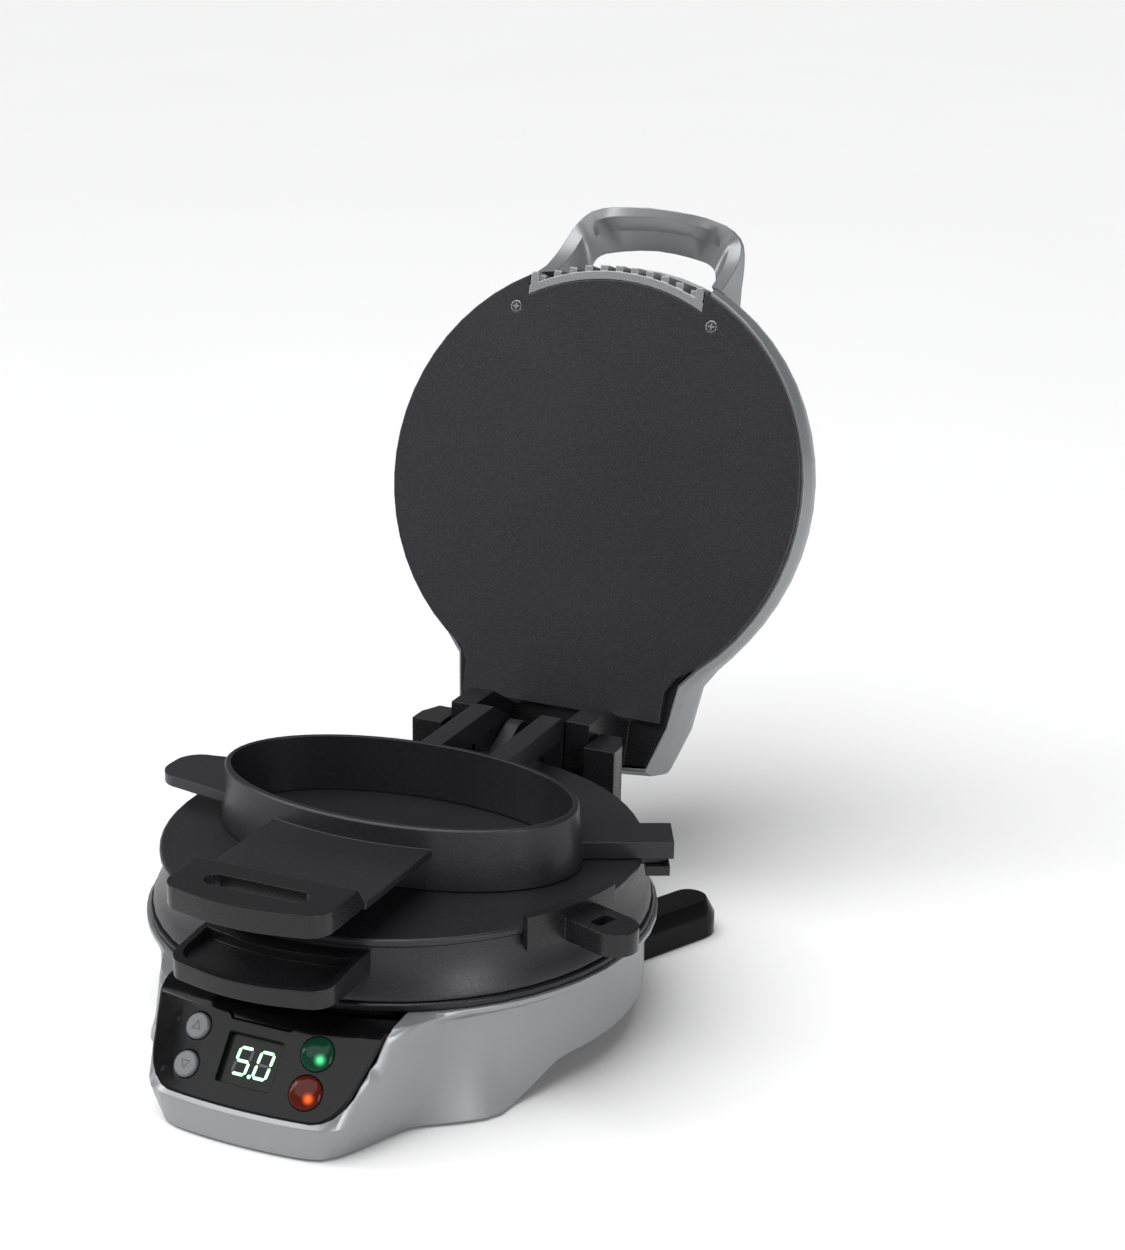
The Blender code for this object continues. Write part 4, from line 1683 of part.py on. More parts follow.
def build_grille(lid):
    """The silver lip in the plate's notch and the ribbed wall above it."""
    half = LID_NOTCH_HALF_WIDTH - GAP
    inner = LID_NOTCH_RADIUS + GAP
    outer = inner + GRILLE_LIP_WIDTH
    top = LID_PLATE_TOP + GRILLE_HEIGHT - GAP
    lip = prism("lid_grille", sector(inner, outer, half), LID_PLATE_BOTTOM, LID_PLATE_TOP + OVERLAP)
    grille = add_object("lid_grille", lip, SILVER, lid)
    wall = sector(outer - GRILLE_WALL - OVERLAP, outer, half - GAP)
    join(grille, prism("grille_wall", wall, LID_PLATE_TOP - OVERLAP, top))
    roof = sector(outer - OVERLAP, dome_radius(top) - LID_WALL / 2, half - GRILLE_RIB_WIDTH)
    join(grille, prism("grille_roof", roof, top - GRILLE_WALL, top - GAP))
    for side in (-1, 1):
        end = rounded_box_outline(GRILLE_CORNER_WIDTH - GAP, GRILLE_CORNER_DEPTH, GRILLE_CORNER_RADIUS)
        centre = (side * (half - (GRILLE_CORNER_WIDTH + GAP) / 2), GRILLE_CORNER_DEPTH / 2 - GRILLE_CORNER_REACH)
        corner_top = LID_PLATE_TOP + GRILLE_CORNER_DEPTH
        join(grille, prism("grille_corner", moved(end, centre), LID_PLATE_BOTTOM, corner_top))
    span = half * GRILLE_RIB_SPAN_SHARE
    for x in np.linspace(-span, span, GRILLE_RIB_COUNT):
        y = -sqrt(outer**2 - x**2)
        low_corner = (x - GRILLE_RIB_WIDTH / 2, y - GRILLE_RIB_DEPTH, LID_PLATE_BOTTOM + GRILLE_MARGIN)
        high_corner = (x + GRILLE_RIB_WIDTH / 2, y + GRILLE_WALL, top - GRILLE_MARGIN)
        join(grille, box("grille_rib", low_corner, high_corner))


def handle_section(share):
    """The handle's section at a share from root to root, as a loop of points."""
    side = 1 if share > 0 else -1
    stations = np.linspace(0, 1, len(HANDLE_OUTER_SHARES))

    def place(table):
        x, y = (np.interp(abs(share), stations, column) for column in zip(*table))
        return np.array((side * HANDLE_HALF_WIDTH * x, -HANDLE_REACH * y, 0))

    rises = [np.interp(abs(share), stations, column) for column in zip(*HANDLE_RISE_SHARES)]
    low, top = (np.array((0, 0, LID_PLATE_TOP + HANDLE_CREST_RISE * rise)) for rise in rises)
    outer, inner, rim = place(HANDLE_OUTER_SHARES), place(HANDLE_INNER_SHARES), place(HANDLE_RIM_SHARES)
    edge = (inner - outer) / np.linalg.norm(inner - outer) * HANDLE_EDGE
    roof = top - (0, 0, HANDLE_TOP_THICKNESS)
    along, up = HANDLE_HOLLOW_SHARES
    hollow = rim + (inner - rim) * along + low + (roof - low) * up
    return [
        outer + low,
        outer + top - (0, 0, HANDLE_EDGE),
        outer + edge + top,
        inner - edge + top,
        inner + top - (0, 0, HANDLE_EDGE),
        inner + roof,
        hollow,
        rim + low,
    ]


def build_lid_handle(lid):
    """The silver arch handle in front of the lid, with a rim that runs down to the grille's corners."""
    rings = [handle_section(share) for share in np.linspace(-1, 1, 2 * HANDLE_STATIONS + 1)]
    handle = add_object("lid_handle", lofted("lid_handle", rings), SILVER, lid)
    cut(handle, dome_mesh("lid_outer_form", GAP, LID_PLATE_BOTTOM - 2 * OVERRUN))


def main():
    clear_scene()
    hinge_turn = (-LID_OPENING, 0, 0)
    carriers = {
        "lid": empty_at("lid_hinge", HINGE, hinge_turn),
        "bottom_ring_body": empty_at("bottom_ring_hinge", HINGE),
    }
    carriers["egg_ring_body"] = empty_at("egg_ring_hinge", (0, 0, 0), parent=carriers["bottom_ring_body"])
    pivot = Vector((PIVOT_X, PIVOT_Y, PLATE_BOTTOM))
    carriers["cooking_plate_body"] = empty_at("plate_pivot", pivot - HINGE, parent=carriers["egg_ring_body"])
    bodies = {"base": body_of()}
    for name in ("lid", "bottom_ring_body", "egg_ring_body"):
        bodies[name] = body_of(carriers[name], HINGE)
    bodies["cooking_plate_body"] = body_of(carriers["cooking_plate_body"], pivot)
    for name, z in (("up", BUTTON_UPPER_Z), ("down", BUTTON_LOWER_Z)):
        carrier = empty_at("button_slide_" + name, (0, 0, 0))
        carrier.matrix_local = panel_place(-BUTTON_X, z)
        bodies["button_" + name] = body_of(carrier)
    build_housing(bodies["base"])
    build_panel(bodies["base"])
    build_buttons(bodies)
    build_covers(bodies["base"])
    build_power_board(bodies["base"])
    build_deck(bodies["base"])
    build_tower(bodies["base"])
    build_bottom_ring(bodies["bottom_ring_body"])
    build_egg_ring(bodies["egg_ring_body"])
    build_cooking_plate(bodies["cooking_plate_body"])
    build_lid(bodies["lid"])


main()
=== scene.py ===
"""Looks of a breakfast burrito maker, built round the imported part. All lengths are metres."""

import json
from math import atan2, cos, radians, sin, sqrt

import bpy
import numpy as np
from mathutils import Matrix, Vector


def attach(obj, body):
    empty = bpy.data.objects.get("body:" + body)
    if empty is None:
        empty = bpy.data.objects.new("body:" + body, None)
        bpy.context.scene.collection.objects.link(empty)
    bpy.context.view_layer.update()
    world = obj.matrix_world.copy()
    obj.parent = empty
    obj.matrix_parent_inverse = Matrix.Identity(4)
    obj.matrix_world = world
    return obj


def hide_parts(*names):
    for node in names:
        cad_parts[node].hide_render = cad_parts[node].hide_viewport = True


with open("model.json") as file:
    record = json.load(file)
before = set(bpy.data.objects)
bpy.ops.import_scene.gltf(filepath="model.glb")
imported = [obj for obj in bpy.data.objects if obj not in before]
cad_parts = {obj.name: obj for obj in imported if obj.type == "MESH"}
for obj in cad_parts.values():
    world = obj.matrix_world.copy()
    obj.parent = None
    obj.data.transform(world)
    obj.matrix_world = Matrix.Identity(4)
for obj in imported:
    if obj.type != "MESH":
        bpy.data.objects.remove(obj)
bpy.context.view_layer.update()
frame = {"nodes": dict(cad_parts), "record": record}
cad = frame["nodes"]
bodies = frame["record"]["behaviour"]["bodies"]
body_of = {node: body for body, members in bodies.items() for node in members}
slot_of = {part["node"]: part["material_slot"] for part in frame["record"]["subparts"]}

# Places shared with the solids
PANEL_SLOPE = 0.805
PANEL_ANGLE = atan2(1, PANEL_SLOPE)
NOSE_TOP_Z = 0.029
NOSE_TOP_REACH = 0.1233
NOSE_FRONT_RADIUS = 0.236
BUTTON_X, BUTTON_UPPER_Z, BUTTON_LOWER_Z = 0.0275, 0.0222, 0.0098
BUTTON_PROUD = 0.0009
LENS_RADIUS, LENS_PROUD = 0.00685, 0.0016
DISPLAY_Z = 0.01575
WINDOW_DEPTH = 0.0036
LID_OPENING = radians(107)
HINGE = Vector((0, 0.131, 0.058))
LID_PLATE_BOTTOM = 0.0894
LID_SCREW_X, LID_SCREW_Y = 0.052, -0.081
TABLE_Z = -0.018

# How far two faces turn before the edge between them stays sharp, in degrees
SHARP_ANGLE = 35
SCREW_SHARP_ANGLE = 30


# Finishes

def shader(name):
    """A new material with its node tree, its main shader and its object coordinates."""
    material = bpy.data.materials.new(name)
    material.use_nodes = True
    tree = material.node_tree
    main = tree.nodes["Principled BSDF"]
    place = tree.nodes.new("ShaderNodeTexCoord").outputs["Object"]
    return material, tree, main, place


def noise(tree, place, scale, detail=3.0, roughness=0.6):
    """A noise pattern of a number of features in a metre."""
    node = tree.nodes.new("ShaderNodeTexNoise")
    node.inputs["Scale"].default_value = scale
    node.inputs["Detail"].default_value = detail
    node.inputs["Roughness"].default_value = roughness
    tree.links.new(place, node.inputs["Vector"])
    return node.outputs["Fac"]


def spread(tree, source, low, high, start=0.3, end=0.7):
    """Maps a pattern's middle range to two values."""
    node = tree.nodes.new("ShaderNodeMapRange")
    for socket, value in zip(("From Min", "From Max", "To Min", "To Max"), (start, end, low, high)):
        node.inputs[socket].default_value = value
    tree.links.new(source, node.inputs["Value"])
    return node.outputs["Result"]


def blend_colours(tree, factor, first, second):
    """A colour between two colours, each a tuple or a socket."""
    node = tree.nodes.new("ShaderNodeMix")
    node.data_type = "RGBA"
    tree.links.new(factor, node.inputs["Factor"])
    for socket, colour in ((node.inputs[6], first), (node.inputs[7], second)):
        if isinstance(colour, tuple):
            socket.default_value = (*colour, 1)
        else:
            tree.links.new(colour, socket)
    return node.outputs[2]


def relief(tree, main, height, depth, edge):
    """Fine relief of a depth over edges rounded by a radius."""
    bump = tree.nodes.new("ShaderNodeBump")
    bump.inputs["Distance"].default_value = depth
    tree.links.new(height, bump.inputs["Height"])
    if edge:
        bevel = tree.nodes.new("ShaderNodeBevel")
        bevel.samples = 8
        bevel.inputs["Radius"].default_value = edge
        tree.links.new(bevel.outputs["Normal"], bump.inputs["Normal"])
    tree.links.new(bump.outputs["Normal"], main.inputs["Normal"])


def shade(colour, factor):
    """A colour made lighter or darker."""
    return tuple(c * factor for c in colour)


def coated(
    name, colour, rough, grain=1500, depth=0.00003, metal=0.0, patch=18, vary=0.12, edge=0.0005, **fixed
):
    """A moulded, painted or coated surface.

    Patches of colour, patch in a metre, vary slowly. Grain, grain in a metre, shows in colour, gloss and
    relief, of a depth. Edges are rounded by a radius. Other sockets are set by name.
    """
    material, tree, main, place = shader(name)
    slow = spread(tree, noise(tree, place, patch, 2.0), 0, 1)
    fine = noise(tree, place, grain, 2.0)
    tone = blend_colours(tree, slow, shade(colour, 1 - vary), shade(colour, 1 + vary))
    grainy = blend_colours(tree, spread(tree, fine, 0, 1), tone, colour)
    tree.links.new(grainy, main.inputs["Base Color"])
    mixed = tree.nodes.new("ShaderNodeMath")
    mixed.operation = "MULTIPLY_ADD"
    tree.links.new(spread(tree, fine, 0.9, 1.12), mixed.inputs[0])
    tree.links.new(spread(tree, slow, rough * 0.94, rough * 1.06, 0, 1), mixed.inputs[1])
    mixed.inputs[2].default_value = 0
    tree.links.new(mixed.outputs[0], main.inputs["Roughness"])
    main.inputs["Metallic"].default_value = metal
    for socket, value in fixed.items():
        main.inputs[socket.replace("_", " ")].default_value = value
    relief(tree, main, fine, depth, edge)
    return material


def speckled(name, colour, fleck, rough):
    """The non-stick coating: charcoal with fine pale flecks and an orange-peel relief."""
    material, tree, main, place = shader(name)
    slow = spread(tree, noise(tree, place, 14, 2.0), 0, 1)
    ground = blend_colours(tree, slow, shade(colour, 0.88), shade(colour, 1.12))
    flecks = spread(tree, noise(tree, place, 2200, 1.0), 0, 1, 0.58, 0.74)
    tree.links.new(blend_colours(tree, flecks, ground, fleck), main.inputs["Base Color"])
    grain = noise(tree, place, 700, 3.0)
    tree.links.new(spread(tree, grain, rough * 0.88, rough * 1.14), main.inputs["Roughness"])
    main.inputs["Metallic"].default_value = 0.25
    main.inputs["Specular IOR Level"].default_value = 0.45
    relief(tree, main, grain, 0.00006, 0.0009)
    return material


def turned_steel(name, colour, rough):
    """Bright steel with fine drawn lines along Z."""
    material, tree, main, place = shader(name)
    stretch = tree.nodes.new("ShaderNodeMapping")
    stretch.inputs["Scale"].default_value = (1, 1, 0.05)
    tree.links.new(place, stretch.inputs["Vector"])
    lines = noise(tree, stretch.outputs["Vector"], 2500, 2.0)
    tone = blend_colours(tree, lines, shade(colour, 0.85), shade(colour, 1.1))
    tree.links.new(tone, main.inputs["Base Color"])
    tree.links.new(spread(tree, lines, rough * 0.8, rough * 1.2), main.inputs["Roughness"])
    main.inputs["Metallic"].default_value = 1.0
    relief(tree, main, lines, 0.00002, 0.0003)
    return material


def lens(name, colour, glow, spot, reach, power):
    """A tinted lens lit from behind: the light falls off round a spot."""
    material, tree, main, place = shader(name)
    away = tree.nodes.new("ShaderNodeVectorMath")
    away.operation = "DISTANCE"
    tree.links.new(place, away.inputs[0])
    away.inputs[1].default_value = spot
    near = spread(tree, away.outputs["Value"], 1, 0, reach * 0.1, reach)
    facets = noise(tree, place, 900, 1.0)
    lit = tree.nodes.new("ShaderNodeMath")
    lit.operation = "POWER"
    tree.links.new(near, lit.inputs[0])
    lit.inputs[1].default_value = 2.2
    tree.links.new(blend_colours(tree, lit.outputs[0], colour, glow), main.inputs["Base Color"])
    light = blend_colours(tree, lit.outputs[0], shade(glow, 0.03), glow)
    tree.links.new(light, main.inputs["Emission Color"])
    main.inputs["Emission Strength"].default_value = power
    main.inputs["Roughness"].default_value = 0.12
    main.inputs["Specular IOR Level"].default_value = 0.12
    relief(tree, main, facets, 0.00005, 0.0003)
    return material


def lit_segments(name, colour, power):
    """Glowing display segments, a little uneven along their length."""
    material, tree, main, place = shader(name)
    uneven = noise(tree, place, 400, 1.0)
    tree.links.new(blend_colours(tree, uneven, shade(colour, 0.8), colour), main.inputs["Emission Color"])
    main.inputs["Base Color"].default_value = (*colour, 1)
    main.inputs["Emission Strength"].default_value = power
    main.inputs["Roughness"].default_value = 0.4
    return material


FINISHES = {
    "satin_silver": coated("satin_silver", (0.265, 0.272, 0.28), 0.34, 2200, 0.00001, 0.55, 10, 0.04, 0.0008),
    "black_plastic": coated(
        "black_plastic", (0.0085, 0.008, 0.009), 0.28, 1600, 0.000004, 0.0, 20, 0.12, 0.0006,
        Specular_IOR_Level=0.36,
    ),
    "gloss_black": coated(
        "gloss_black", (0.004, 0.004, 0.0045), 0.12, 300, 0.000004, 0.0, 20, 0.1, 0.0010,
        Specular_IOR_Level=0.14,
    ),
    "nonstick": speckled("nonstick", (0.017, 0.0165, 0.0195), (0.040, 0.040, 0.047), 0.38),
    "steel": turned_steel("steel", (0.5, 0.5, 0.51), 0.3),
    "tinned_sheet": turned_steel("tinned_sheet", (0.6, 0.6, 0.61), 0.35),
    "button_grey": coated("button_grey", (0.11, 0.115, 0.125), 0.42, 1500, 0.00001, 0.1, 60, 0.08, 0.0005),
    "smoked_window": coated(
        "smoked_window", (0.006, 0.009, 0.007), 0.25, 300, 0.000003, 0.0, 60, 0.2, 0.0004,
        Specular_IOR_Level=0.15,
    ),
    "green_lens": coated("green_lens_rim", (0.01, 0.06, 0.04), 0.1, 500, 0.00001),
    "red_lens": coated("red_lens_rim", (0.12, 0.02, 0.012), 0.1, 500, 0.00001),
    "led_epoxy": coated("led_epoxy", (0.8, 0.85, 0.8), 0.2),
    "circuit_board": coated("circuit_board", (0.02, 0.12, 0.05), 0.45, 900, 0.00004),
    "rubber": coated("rubber", (0.02, 0.02, 0.021), 0.75, 1200, 0.00006),
    "ceramic": coated("ceramic", (0.72, 0.69, 0.62), 0.6, 900, 0.00004),
    "black_steel": coated("black_steel", (0.006, 0.006, 0.0065), 0.5, 1500, 0.00002, 0.0),
}


# Making pieces

def add_piece(name, points, faces, material, body, soften=True, angle=SHARP_ANGLE):
    """A mesh object from arrays of points and faces, with its place in its mesh, riding on a body."""
    mesh = bpy.data.meshes.new(name)
    mesh.from_pydata(np.asarray(points, float), [], np.asarray(faces, int).tolist())
    mesh.validate()
    mesh.materials.append(material)
    mesh.shade_smooth()
    mesh.set_sharp_from_angle(angle=radians(angle))
    piece = bpy.data.objects.new(name, mesh)
    bpy.context.scene.collection.objects.link(piece)
    if soften:
        weighted = piece.modifiers.new("even_shading", "WEIGHTED_NORMAL")
        weighted.keep_sharp = True
        weighted.weight = 50
    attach(piece, body)
    return piece


def grid_faces(rows, columns, wrap_rows=False, wrap_columns=False):
    """Quads of a grid of points, row by row, closed round where asked."""
    i = np.arange(rows if wrap_rows else rows - 1)
    j = np.arange(columns if wrap_columns else columns - 1)
    i, j = (a.ravel() for a in np.meshgrid(i, j, indexing="ij"))
    up, along = (i + 1) % rows, (j + 1) % columns
    return np.stack([i * columns + j, i * columns + along, up * columns + along, up * columns + j], 1)


def moved_by(matrix, points):
    """Points of an array carried by a matrix."""
    m = np.array(matrix)
    return np.asarray(points) @ m[:3, :3].T + m[:3, 3]


def smooth_skin(node, finish=None):
    """The shaded skin of a solid: its triangles joined at shared corners, so that curves shade smoothly."""
    mesh = cad[node].data
    points = np.empty(len(mesh.vertices) * 3)
    mesh.vertices.foreach_get("co", points)
    corners = np.empty(len(mesh.polygons) * 3, int)
    mesh.loops.foreach_get("vertex_index", corners)
    places, first, joined = np.unique(
        np.round(points.reshape(-1, 3), 6), axis=0, return_index=True, return_inverse=True
    )
    triangles = joined.ravel()[corners].reshape(-1, 3)
    a, b, c = triangles.T
    triangles = triangles[(a != b) & (b != c) & (c != a)]
    material = finish or FINISHES[slot_of[node]]
    piece = add_piece(node + "_skin", places, triangles, material, body_of[node])
    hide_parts(node)
    return piece


def panel_place(x, z, depth=0.0):
    """The frame on the panel's face at a width and a height: its Z points out of the face."""
    lean = np.interp(z, (0, NOSE_TOP_Z), (NOSE_TOP_REACH + PANEL_SLOPE * NOSE_TOP_Z, NOSE_TOP_REACH))
    y = -(lean - NOSE_FRONT_RADIUS) - sqrt(NOSE_FRONT_RADIUS**2 - x**2)
    turn = Matrix.Rotation(PANEL_ANGLE, 4, "X") @ Matrix.Rotation(np.arcsin(x / NOSE_FRONT_RADIUS), 4, "Y")
    return Matrix.Translation((x, y, z)) @ turn @ Matrix.Translation((0, 0, -depth))


def lid_opened():
    """The turn about the hinge that opens the shut lid."""
    return Matrix.Translation(HINGE) @ Matrix.Rotation(-LID_OPENING, 4, "X") @ Matrix.Translation(-HINGE)


def plates(outlines, low, high):
    """Flat plates of one thickness: each outline is a row of points, its walls joined to its two faces."""
    points, faces = [], []
    for outline in outlines:
        outline = np.asarray(outline)
        start, count = sum(len(p) for p in points), len(outline)
        points += [np.c_[outline, np.full(count, low)], np.c_[outline, np.full(count, high)]]
        k = np.arange(count)
        n = (k + 1) % count
        faces.append(list(start + k[::-1]))
        faces.append(list(start + count + k))
        faces += (np.stack([k, n, n + count, k + count], 1) + start).tolist()
    return np.concatenate(points), faces


def add_plates(name, outlines, low, high, place, material, body):
    """Thin plates set on a face given by a matrix."""
    points, faces = plates(outlines, low, high)
    mesh = bpy.data.meshes.new(name)
    mesh.from_pydata(moved_by(place, points), [], faces)
    mesh.materials.append(material)
    piece = bpy.data.objects.new(name, mesh)
    bpy.context.scene.collection.objects.link(piece)
    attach(piece, body)
    return piece


# The control panel's details

DIGIT_HEIGHT, DIGIT_WIDTH, DIGIT_STROKE, DIGIT_LEAN = 0.0108, 0.0058, 0.00125, 0.10
SEGMENT_GAP = 0.00022
LIT_THICKNESS, DARK_THICKNESS = 0.00008, 0.00005
POINT_X, POINT_DROP, POINT_RADIUS, POINT_STEPS = 0.0003, 0.0001, 0.00085, 16

# Each digit: its middle across the display, and its lit strokes
DIGITS = ((-0.0044, "afgcd"), (0.0052, "abcdef"))

# Button marks: the tip and the foot of the triangle, the inner edge as a share, and its height
MARK_TIP, MARK_FOOT, MARK_HALF_WIDTH = 0.0021, 0.0015, 0.0021
MARK_INNER_SHARE, MARK_HEIGHT = 0.74, 0.00012

# Lenses: where the light behind shows, from the middle, and how far it reaches as a share of the radius
LIGHT_X, LIGHT_Y, LIGHT_REACH_SHARE = 0.0024, -0.0022, 0.5


def segment(kind):
    """One stroke of a seven-stroke digit as a six-cornered outline about the digit's middle."""
    half_w, half_h = DIGIT_WIDTH / 2, DIGIT_HEIGHT / 2
    ends = {
        "a": ((-half_w, half_h), (half_w, half_h)),
        "g": ((-half_w, 0), (half_w, 0)),
        "d": ((-half_w, -half_h), (half_w, -half_h)),
        "f": ((-half_w, half_h), (-half_w, 0)),
        "b": ((half_w, half_h), (half_w, 0)),
        "e": ((-half_w, 0), (-half_w, -half_h)),
        "c": ((half_w, 0), (half_w, -half_h)),
    }[kind]
    start, end = np.array(ends)
    along = (end - start) / np.linalg.norm(end - start)
    across = np.array((-along[1], along[0])) * DIGIT_STROKE / 2
    tip = along * DIGIT_STROKE / 2
    start, end = start + along * SEGMENT_GAP, end - along * SEGMENT_GAP
    near, far = start + tip, end - tip
    row = np.array([start, near + across, far + across, end, far - across, near - across])
    row[:, 0] += row[:, 1] * DIGIT_LEAN
    return row[::-1]


def make_display():
    """The lit digits five and nought with a point between, and the faint strokes that are off."""
    place = panel_place(0, DISPLAY_Z, WINDOW_DEPTH)
    lit, dark = [], []
    for centre, strokes in DIGITS:
        for kind in "abcdefg":
            (lit if kind in strokes else dark).append(segment(kind) + (centre, 0))
    turn = np.linspace(0, 2 * np.pi, POINT_STEPS, endpoint=False)
    point = np.c_[np.cos(turn), np.sin(turn)] * POINT_RADIUS
    lit.append(point + (POINT_X, -DIGIT_HEIGHT / 2 - POINT_DROP))
    glow = lit_segments("lit_strokes", (0.42, 0.95, 0.55), 1.5)
    off = coated("unlit_strokes", (0.035, 0.045, 0.035), 0.3)
    add_plates("display_lit_strokes", lit, 0, LIT_THICKNESS, place, glow, "base")
    add_plates("display_dark_strokes", dark, 0, DARK_THICKNESS, place, off, "base")


def make_button_marks():
    """A raised triangle outline on each time button: its border is a strip between two triangles."""
    mark = coated("button_mark", (0.09, 0.095, 0.105), 0.4, 1500, 0.00003, 0.1)
    for name, z, way in (("up", BUTTON_UPPER_Z, 1), ("down", BUTTON_LOWER_Z, -1)):
        corners = [(0, MARK_TIP), (-MARK_HALF_WIDTH, -MARK_FOOT), (MARK_HALF_WIDTH, -MARK_FOOT)]
        corners = np.array(corners) * (1, way)
        inner = corners * MARK_INNER_SHARE
        strips = [np.array([corners[k], corners[k - 2], inner[k - 2], inner[k]])[::way] for k in range(3)]
        place = panel_place(-BUTTON_X, z)
        top = BUTTON_PROUD + MARK_HEIGHT
        body = name + "_button_body"
        add_plates(name + "_button_mark", strips, BUTTON_PROUD, top, place, mark, body)


def make_lenses():
    """The two indicator lenses, lit off centre from behind."""
    for node, z, colour, glow, power in (
        ("green_lens", BUTTON_UPPER_Z, (0.003, 0.022, 0.016), (0.10, 0.8, 0.28), 0.8),
        ("red_lens", BUTTON_LOWER_Z, (0.05, 0.006, 0.004), (1.0, 0.12, 0.02), 0.75),
    ):
        spot = panel_place(BUTTON_X, z) @ Vector((LIGHT_X, LIGHT_Y, LENS_PROUD))
        reach = LENS_RADIUS * LIGHT_REACH_SHARE
        smooth_skin(node, lens(node + "_lit", colour, glow, spot, reach, power))


# Screws

SCREW_RADIUS, SCREW_RISE, SCREW_SEAT = 0.0028, 0.0005, 0.0002
SCREW_RINGS, SCREW_TURNS, SCREW_CORE_SHARE = 26, 96, 0.0005
CROSS_HALF_WIDTH_SHARE, CROSS_REACH_SHARE, CROSS_DEPTH_SHARE = 0.16, 0.62, 1.6


def screw_head(name, place):
    """A pan head with a cross recess, of height z = rise * (1 - (r / radius)^4), less the cross."""
    r = SCREW_RADIUS * np.sqrt(np.linspace(SCREW_CORE_SHARE, 1, SCREW_RINGS))
    t = np.linspace(0, 2 * np.pi, SCREW_TURNS, endpoint=False)
    r, t = np.meshgrid(r, t, indexing="ij")
    x, y = r * np.cos(t), r * np.sin(t)
    dome = SCREW_RISE * (1 - (r / SCREW_RADIUS) ** 4)
    cross = np.minimum(np.abs(x), np.abs(y)) < SCREW_RADIUS * CROSS_HALF_WIDTH_SHARE
    cross &= np.maximum(np.abs(x), np.abs(y)) < SCREW_RADIUS * CROSS_REACH_SHARE
    z = dome - cross * SCREW_RISE * CROSS_DEPTH_SHARE
    points = moved_by(place, np.stack([x, y, z], -1).reshape(-1, 3))
    faces = grid_faces(SCREW_RINGS, SCREW_TURNS, False, True)
    add_piece(name, points, faces, FINISHES["black_steel"], "lid", False, SCREW_SHARP_ANGLE)


def make_plate_screws():
    """The two dark cross-recessed screws in the upper plate."""
    flip = Matrix.Rotation(radians(180), 4, "X")
    for side, word in ((-1, "left"), (1, "right")):
        seat = Matrix.Translation((side * LID_SCREW_X, LID_SCREW_Y, LID_PLATE_BOTTOM + SCREW_SEAT))
        screw_head(f"plate_screw_{word}_head", lid_opened() @ seat @ flip)


SKINS = [
    "base_housing", "control_panel", "display_window", "bottom_cover", "front_cover", "foot_front_left",
    "foot_front_right", "foot_rear_left", "foot_rear_right", "rear_leg_left", "rear_leg_right",
    "base_deck", "lower_heating_plate", "hinge_tower", "cord_bush", "hinge_pin", "hinge_pin_clip",
    "up_button", "down_button", "bottom_ring", "bottom_ring_handle", "egg_ring", "egg_ring_handle",
    "plate_pivot_pin", "cooking_plate", "plate_handle", "lid_cover", "lid_frame", "lid_grille",
    "lid_handle", "upper_heating_plate",
]


def make_pieces():
    """Every piece of the cooker."""
    for node in SKINS:
        smooth_skin(node)
    make_lenses()
    make_display()
    make_button_marks()
    make_plate_screws()
    shown = {part for part, solid in cad.items() if not solid.hide_render}
    for node in sorted(shown):
        cad[node].data.materials.clear()
        cad[node].data.materials.append(FINISHES[slot_of[node]])


# Floor, light and camera

FLOOR_HALF_SIDE = 15.0
CAMERA_PLACE = Vector((0.47578, -0.90771, 0.50804))
CAMERA_TARGET = Vector((0.129, -0.123, 0.2162))
CAMERA_AZIMUTH, CAMERA_ROLL = radians(23.8417), radians(0.9345)
CAMERA_LENS, CAMERA_FILM = 72.93, 36.0
CAMERA_NEAR, CAMERA_FAR = 0.01, 100
SUN_ENERGY, SUN_WIDTH, SUN_FROM = 3.3, radians(70), Vector((-0.25, -0.35, 1.0))
BOX_TARGET = (0, 0, 0.05)
SKY_LOW, SKY_HIGH, SKY_STRENGTH = (0.62, 0.62, 0.62), (0.22, 0.22, 0.225), 0.55


def make_floor():
    """A wide pale floor at the feet: one flat square."""
    half = FLOOR_HALF_SIDE
    mesh = bpy.data.meshes.new("floor")
    corners = [(-half, -half, TABLE_Z), (half, -half, TABLE_Z), (half, half, TABLE_Z), (-half, half, TABLE_Z)]
    mesh.from_pydata(corners, [], [(0, 1, 2, 3)])
    material, tree, main, place = shader("pale_floor")
    tone = blend_colours(tree, noise(tree, place, 3, 1.0), (0.86, 0.86, 0.86), (0.88, 0.88, 0.88))
    tree.links.new(tone, main.inputs["Base Color"])
    main.inputs["Roughness"].default_value = 0.6
    main.inputs["Specular IOR Level"].default_value = 0.1
    mesh.materials.append(material)
    floor = bpy.data.objects.new("floor", mesh)
    bpy.context.scene.collection.objects.link(floor)


def softbox(name, place, target, width, height, power):
    """An area light of a size that faces a point."""
    data = bpy.data.lights.new(name, "AREA")
    data.shape = "RECTANGLE"
    data.size, data.size_y, data.energy = width, height, power
    light = bpy.data.objects.new(name, data)
    light.location = place
    light.rotation_euler = (Vector(target) - Vector(place)).to_track_quat("-Z", "Y").to_euler()
    bpy.context.scene.collection.objects.link(light)


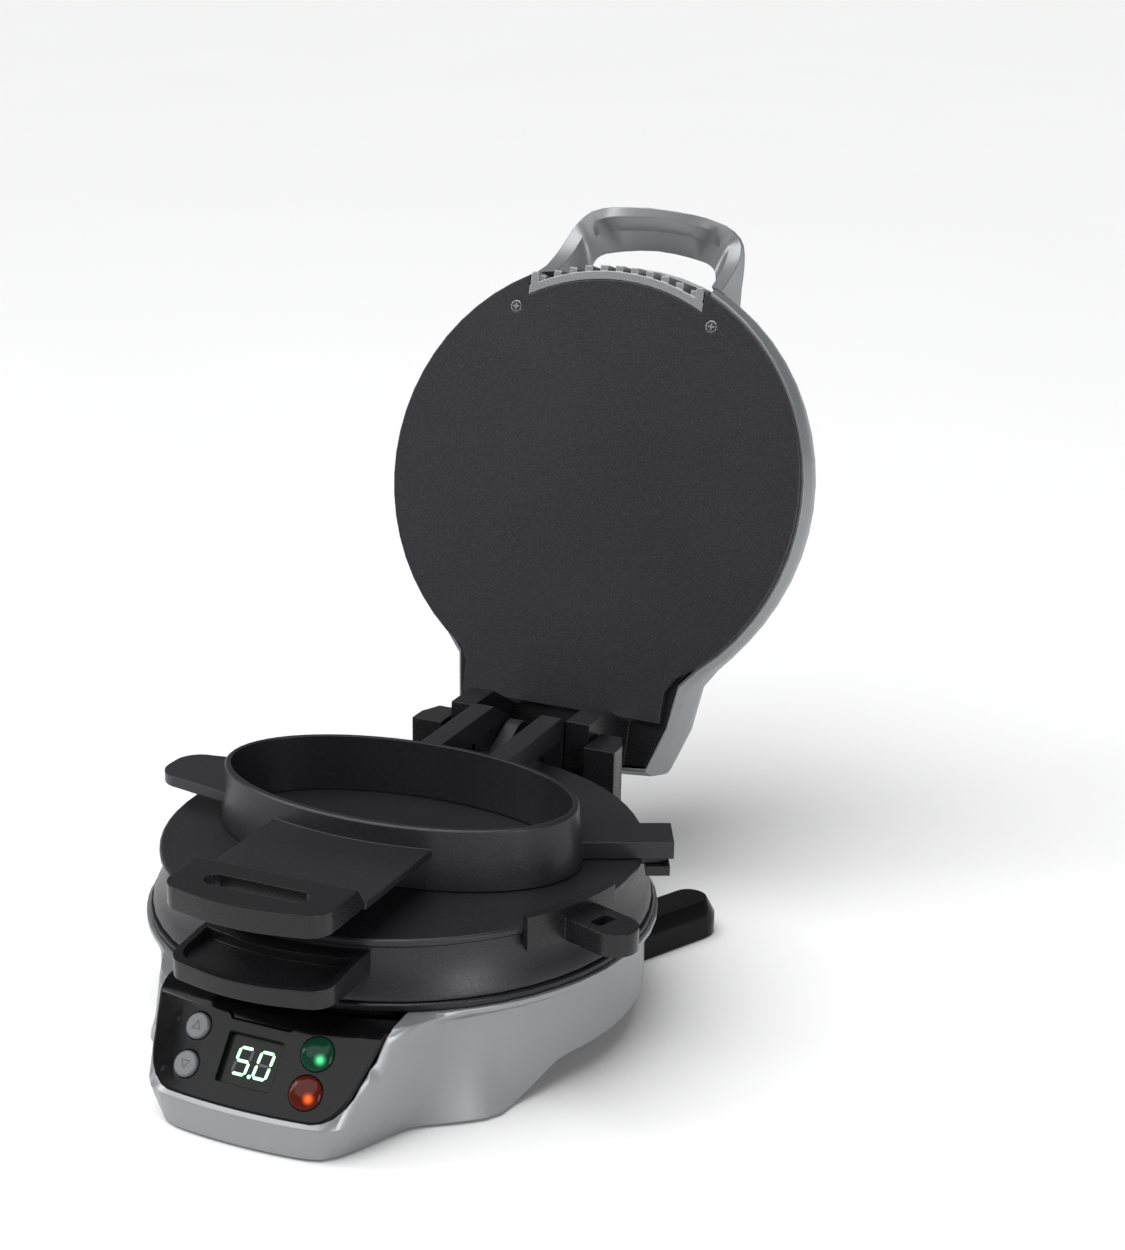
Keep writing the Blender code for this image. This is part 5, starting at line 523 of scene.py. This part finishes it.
def make_light():
    """A studio: a dim sky, a wide soft light overhead that whitens the floor evenly, and two soft boxes."""
    world = bpy.data.worlds.new("studio")
    bpy.context.scene.world = world
    world.use_nodes = True
    tree = world.node_tree
    back = tree.nodes["Background"]
    place = tree.nodes.new("ShaderNodeTexCoord").outputs["Generated"]
    split = tree.nodes.new("ShaderNodeSeparateXYZ")
    tree.links.new(place, split.inputs["Vector"])
    tone = spread(tree, split.outputs["Z"], 0, 1, 0.0, 0.5)
    tree.links.new(blend_colours(tree, tone, SKY_LOW, SKY_HIGH), back.inputs["Color"])
    back.inputs["Strength"].default_value = SKY_STRENGTH
    data = bpy.data.lights.new("overhead", "SUN")
    data.energy, data.angle = SUN_ENERGY, SUN_WIDTH
    overhead = bpy.data.objects.new("overhead", data)
    overhead.rotation_euler = SUN_FROM.to_track_quat("Z", "Y").to_euler()
    bpy.context.scene.collection.objects.link(overhead)
    softbox("side_box", (1.3, -0.9, 0.55), BOX_TARGET, 0.25, 0.9, 9)
    softbox("left_box", (-1.3, -0.6, 0.8), BOX_TARGET, 0.3, 0.9, 7)


def make_camera():
    """The camera at the photograph's viewing angle, with its small roll."""
    back = (CAMERA_PLACE - CAMERA_TARGET).normalized()
    right = Vector((cos(CAMERA_AZIMUTH), sin(CAMERA_AZIMUTH), 0))
    up = back.cross(right)
    across = right * cos(CAMERA_ROLL) + up * sin(CAMERA_ROLL)
    upward = up * cos(CAMERA_ROLL) - right * sin(CAMERA_ROLL)
    data = bpy.data.cameras.new("camera")
    data.lens, data.sensor_width, data.sensor_fit = CAMERA_LENS, CAMERA_FILM, "AUTO"
    data.clip_start, data.clip_end = CAMERA_NEAR, CAMERA_FAR
    camera = bpy.data.objects.new("camera", data)
    turn = Matrix((across, upward, back)).transposed().to_4x4()
    camera.matrix_world = Matrix.Translation(CAMERA_PLACE) @ turn
    bpy.context.scene.collection.objects.link(camera)
    bpy.context.scene.camera = camera


make_pieces()
make_floor()
make_light()
make_camera()
bpy.context.scene.view_settings.view_transform = "Standard"
bpy.context.view_layer.update()
